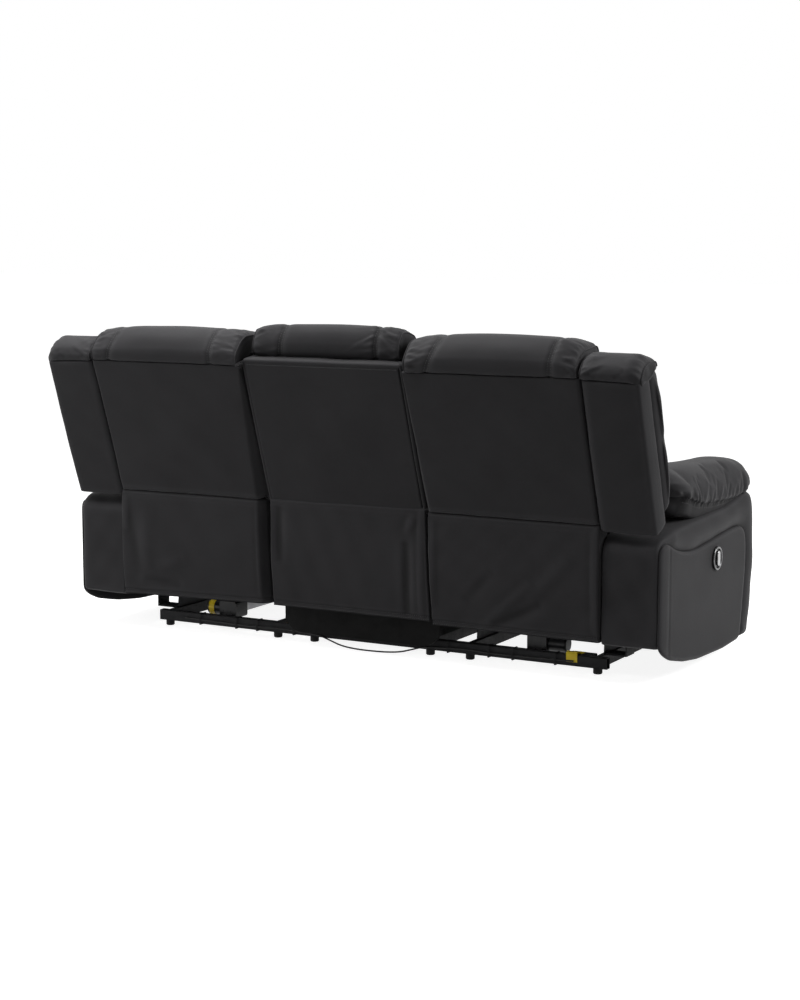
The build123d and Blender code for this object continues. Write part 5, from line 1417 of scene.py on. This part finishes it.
places = turned_places(CENTRE_TOP, CENTRE_ROUNDS, FLAP_STEP)
centre_flap, stitch_lines, size = rear_flap(
    "centre_rear_flap", turned(CENTRE_TOP, CENTRE_ROUNDS, places),
    turned(CENTRE_LOW, CENTRE_ROUNDS, places, CENTRE_TOP),
    (0.4785, 0.4850), (0.1385, 0.1375), CENTRE_RIDGES, 230,
)
stitched("centre_rear_flap_stitches", stitch_lines, centre_flap, "base")
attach(centre_flap, "base")
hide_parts("centre_back_flap")

rises = np.r_[np.linspace(PANEL_LOW, PANEL_HIGH - 0.030, 40), PANEL_HIGH - BORDER[::-1, 0]]
edge_in = np.r_[BORDER[:, 0], np.linspace(0.034, PANEL_HALF, 22)]
panel_rings = []
for up in rises:
    near = max(0.0, up - (PANEL_HIGH - TOP_CORNER))
    half = PANEL_HALF - TOP_CORNER + math.sqrt(max(TOP_CORNER**2 - near**2, 0))
    x = np.minimum(edge_in, half)
    inside = np.minimum(edge_in, PANEL_HIGH - up)
    depth = PANEL_REAR + np.interp(inside, BORDER[:, 0], BORDER[:, 1])
    crease = np.exp(-(((inside - GROOVE) / GROOVE_WIDE) ** 2))
    deep = np.where(edge_in < PANEL_HIGH - up, GROOVE_RIGHT, GROOVE_LEFT)
    left_half = np.column_stack([half - x, depth + GROOVE_LEFT * crease])
    rear = np.r_[left_half, np.column_stack([x - half, depth + deep * crease])[-2::-1]]
    wall = np.linspace(rear[0, 1], PANEL_FACE, WALL_STEPS + 1)[1:]
    right_wall = np.column_stack([np.full(WALL_STEPS, -half), wall])
    left_wall = np.column_stack([np.full(WALL_STEPS, half), wall[::-1]])
    front = np.column_stack([np.linspace(-half, half, FACE_STEPS), np.full(FACE_STEPS, PANEL_FACE)])
    ring = np.vstack([rear, right_wall, front[1:-1], left_wall])
    drop = TOP_SLOPE * np.clip((ring[:, 1] - 0.0205) / 0.043, 0, 1)
    drop *= np.clip(1 - (PANEL_HIGH - up) / 0.024, 0, 1)
    bow = PANEL_BOW * math.sin(math.pi * np.clip((up - PANEL_LOW) / 0.5, 0, 1))
    bow = bow * np.cos(math.pi / 2 * ring[:, 0] / PANEL_HALF)
    y, z = on_back(ring[:, 1] - np.where(ring[:, 1] < 0.03, bow, 0), up - drop)
    panel_rings.append(np.column_stack([ring[:, 0], y, z]))
centre_panel = skin("centre_rear_panel", panel_rings, leatherette, caps=3)
softened(centre_panel, 0.0008, 0.15, 71)
mark_folds(centre_panel)
smoothed(centre_panel)
fitted(centre_panel, "base", "centre_back_panel")
y, z = on_back(PANEL_REAR, PANEL_HIGH - RIM_DOWN)
rim_lines = [(np.array([(x, y, z) for x in np.linspace(RIM_HALF, -RIM_HALF, RIM_POINTS)]), False)]
stitched("centre_rim_stitches", rim_lines, centre_panel, "base")
paint(leatherette, "table_board")
paint(powder_coat, "table_hinges")

table_cover, table_rows = back_pad(
    "table_cushion_cover", 0.006, 0.445, 0.0965, 0.172, (0.010, 0.02, 0.04, 0.04),
    (0, 0.002, 0.012, 0.002), (30, 8, 32, 8), 0.0, 0.250, 0.026, 75, (4.0, 0.02, 0.009),
)
fitted(table_cover, "table", "table_cushion")
stitched("table_cushion_stitches", table_rows, table_cover, "table")

head_pillow(
    "centre_head_roll", "centre_head_pillow", CENTRE_PILLOW,
    (0.020, 0.028, 0.04, 0.03), (0.006, 0.012, 0.012, 0.002),
    -0.256, 0.256, (-0.172, 0.160), (-0.004, -0.014), CENTRE_FOLDS, (0.020, 0.020), 0.006, 180, "table",
)
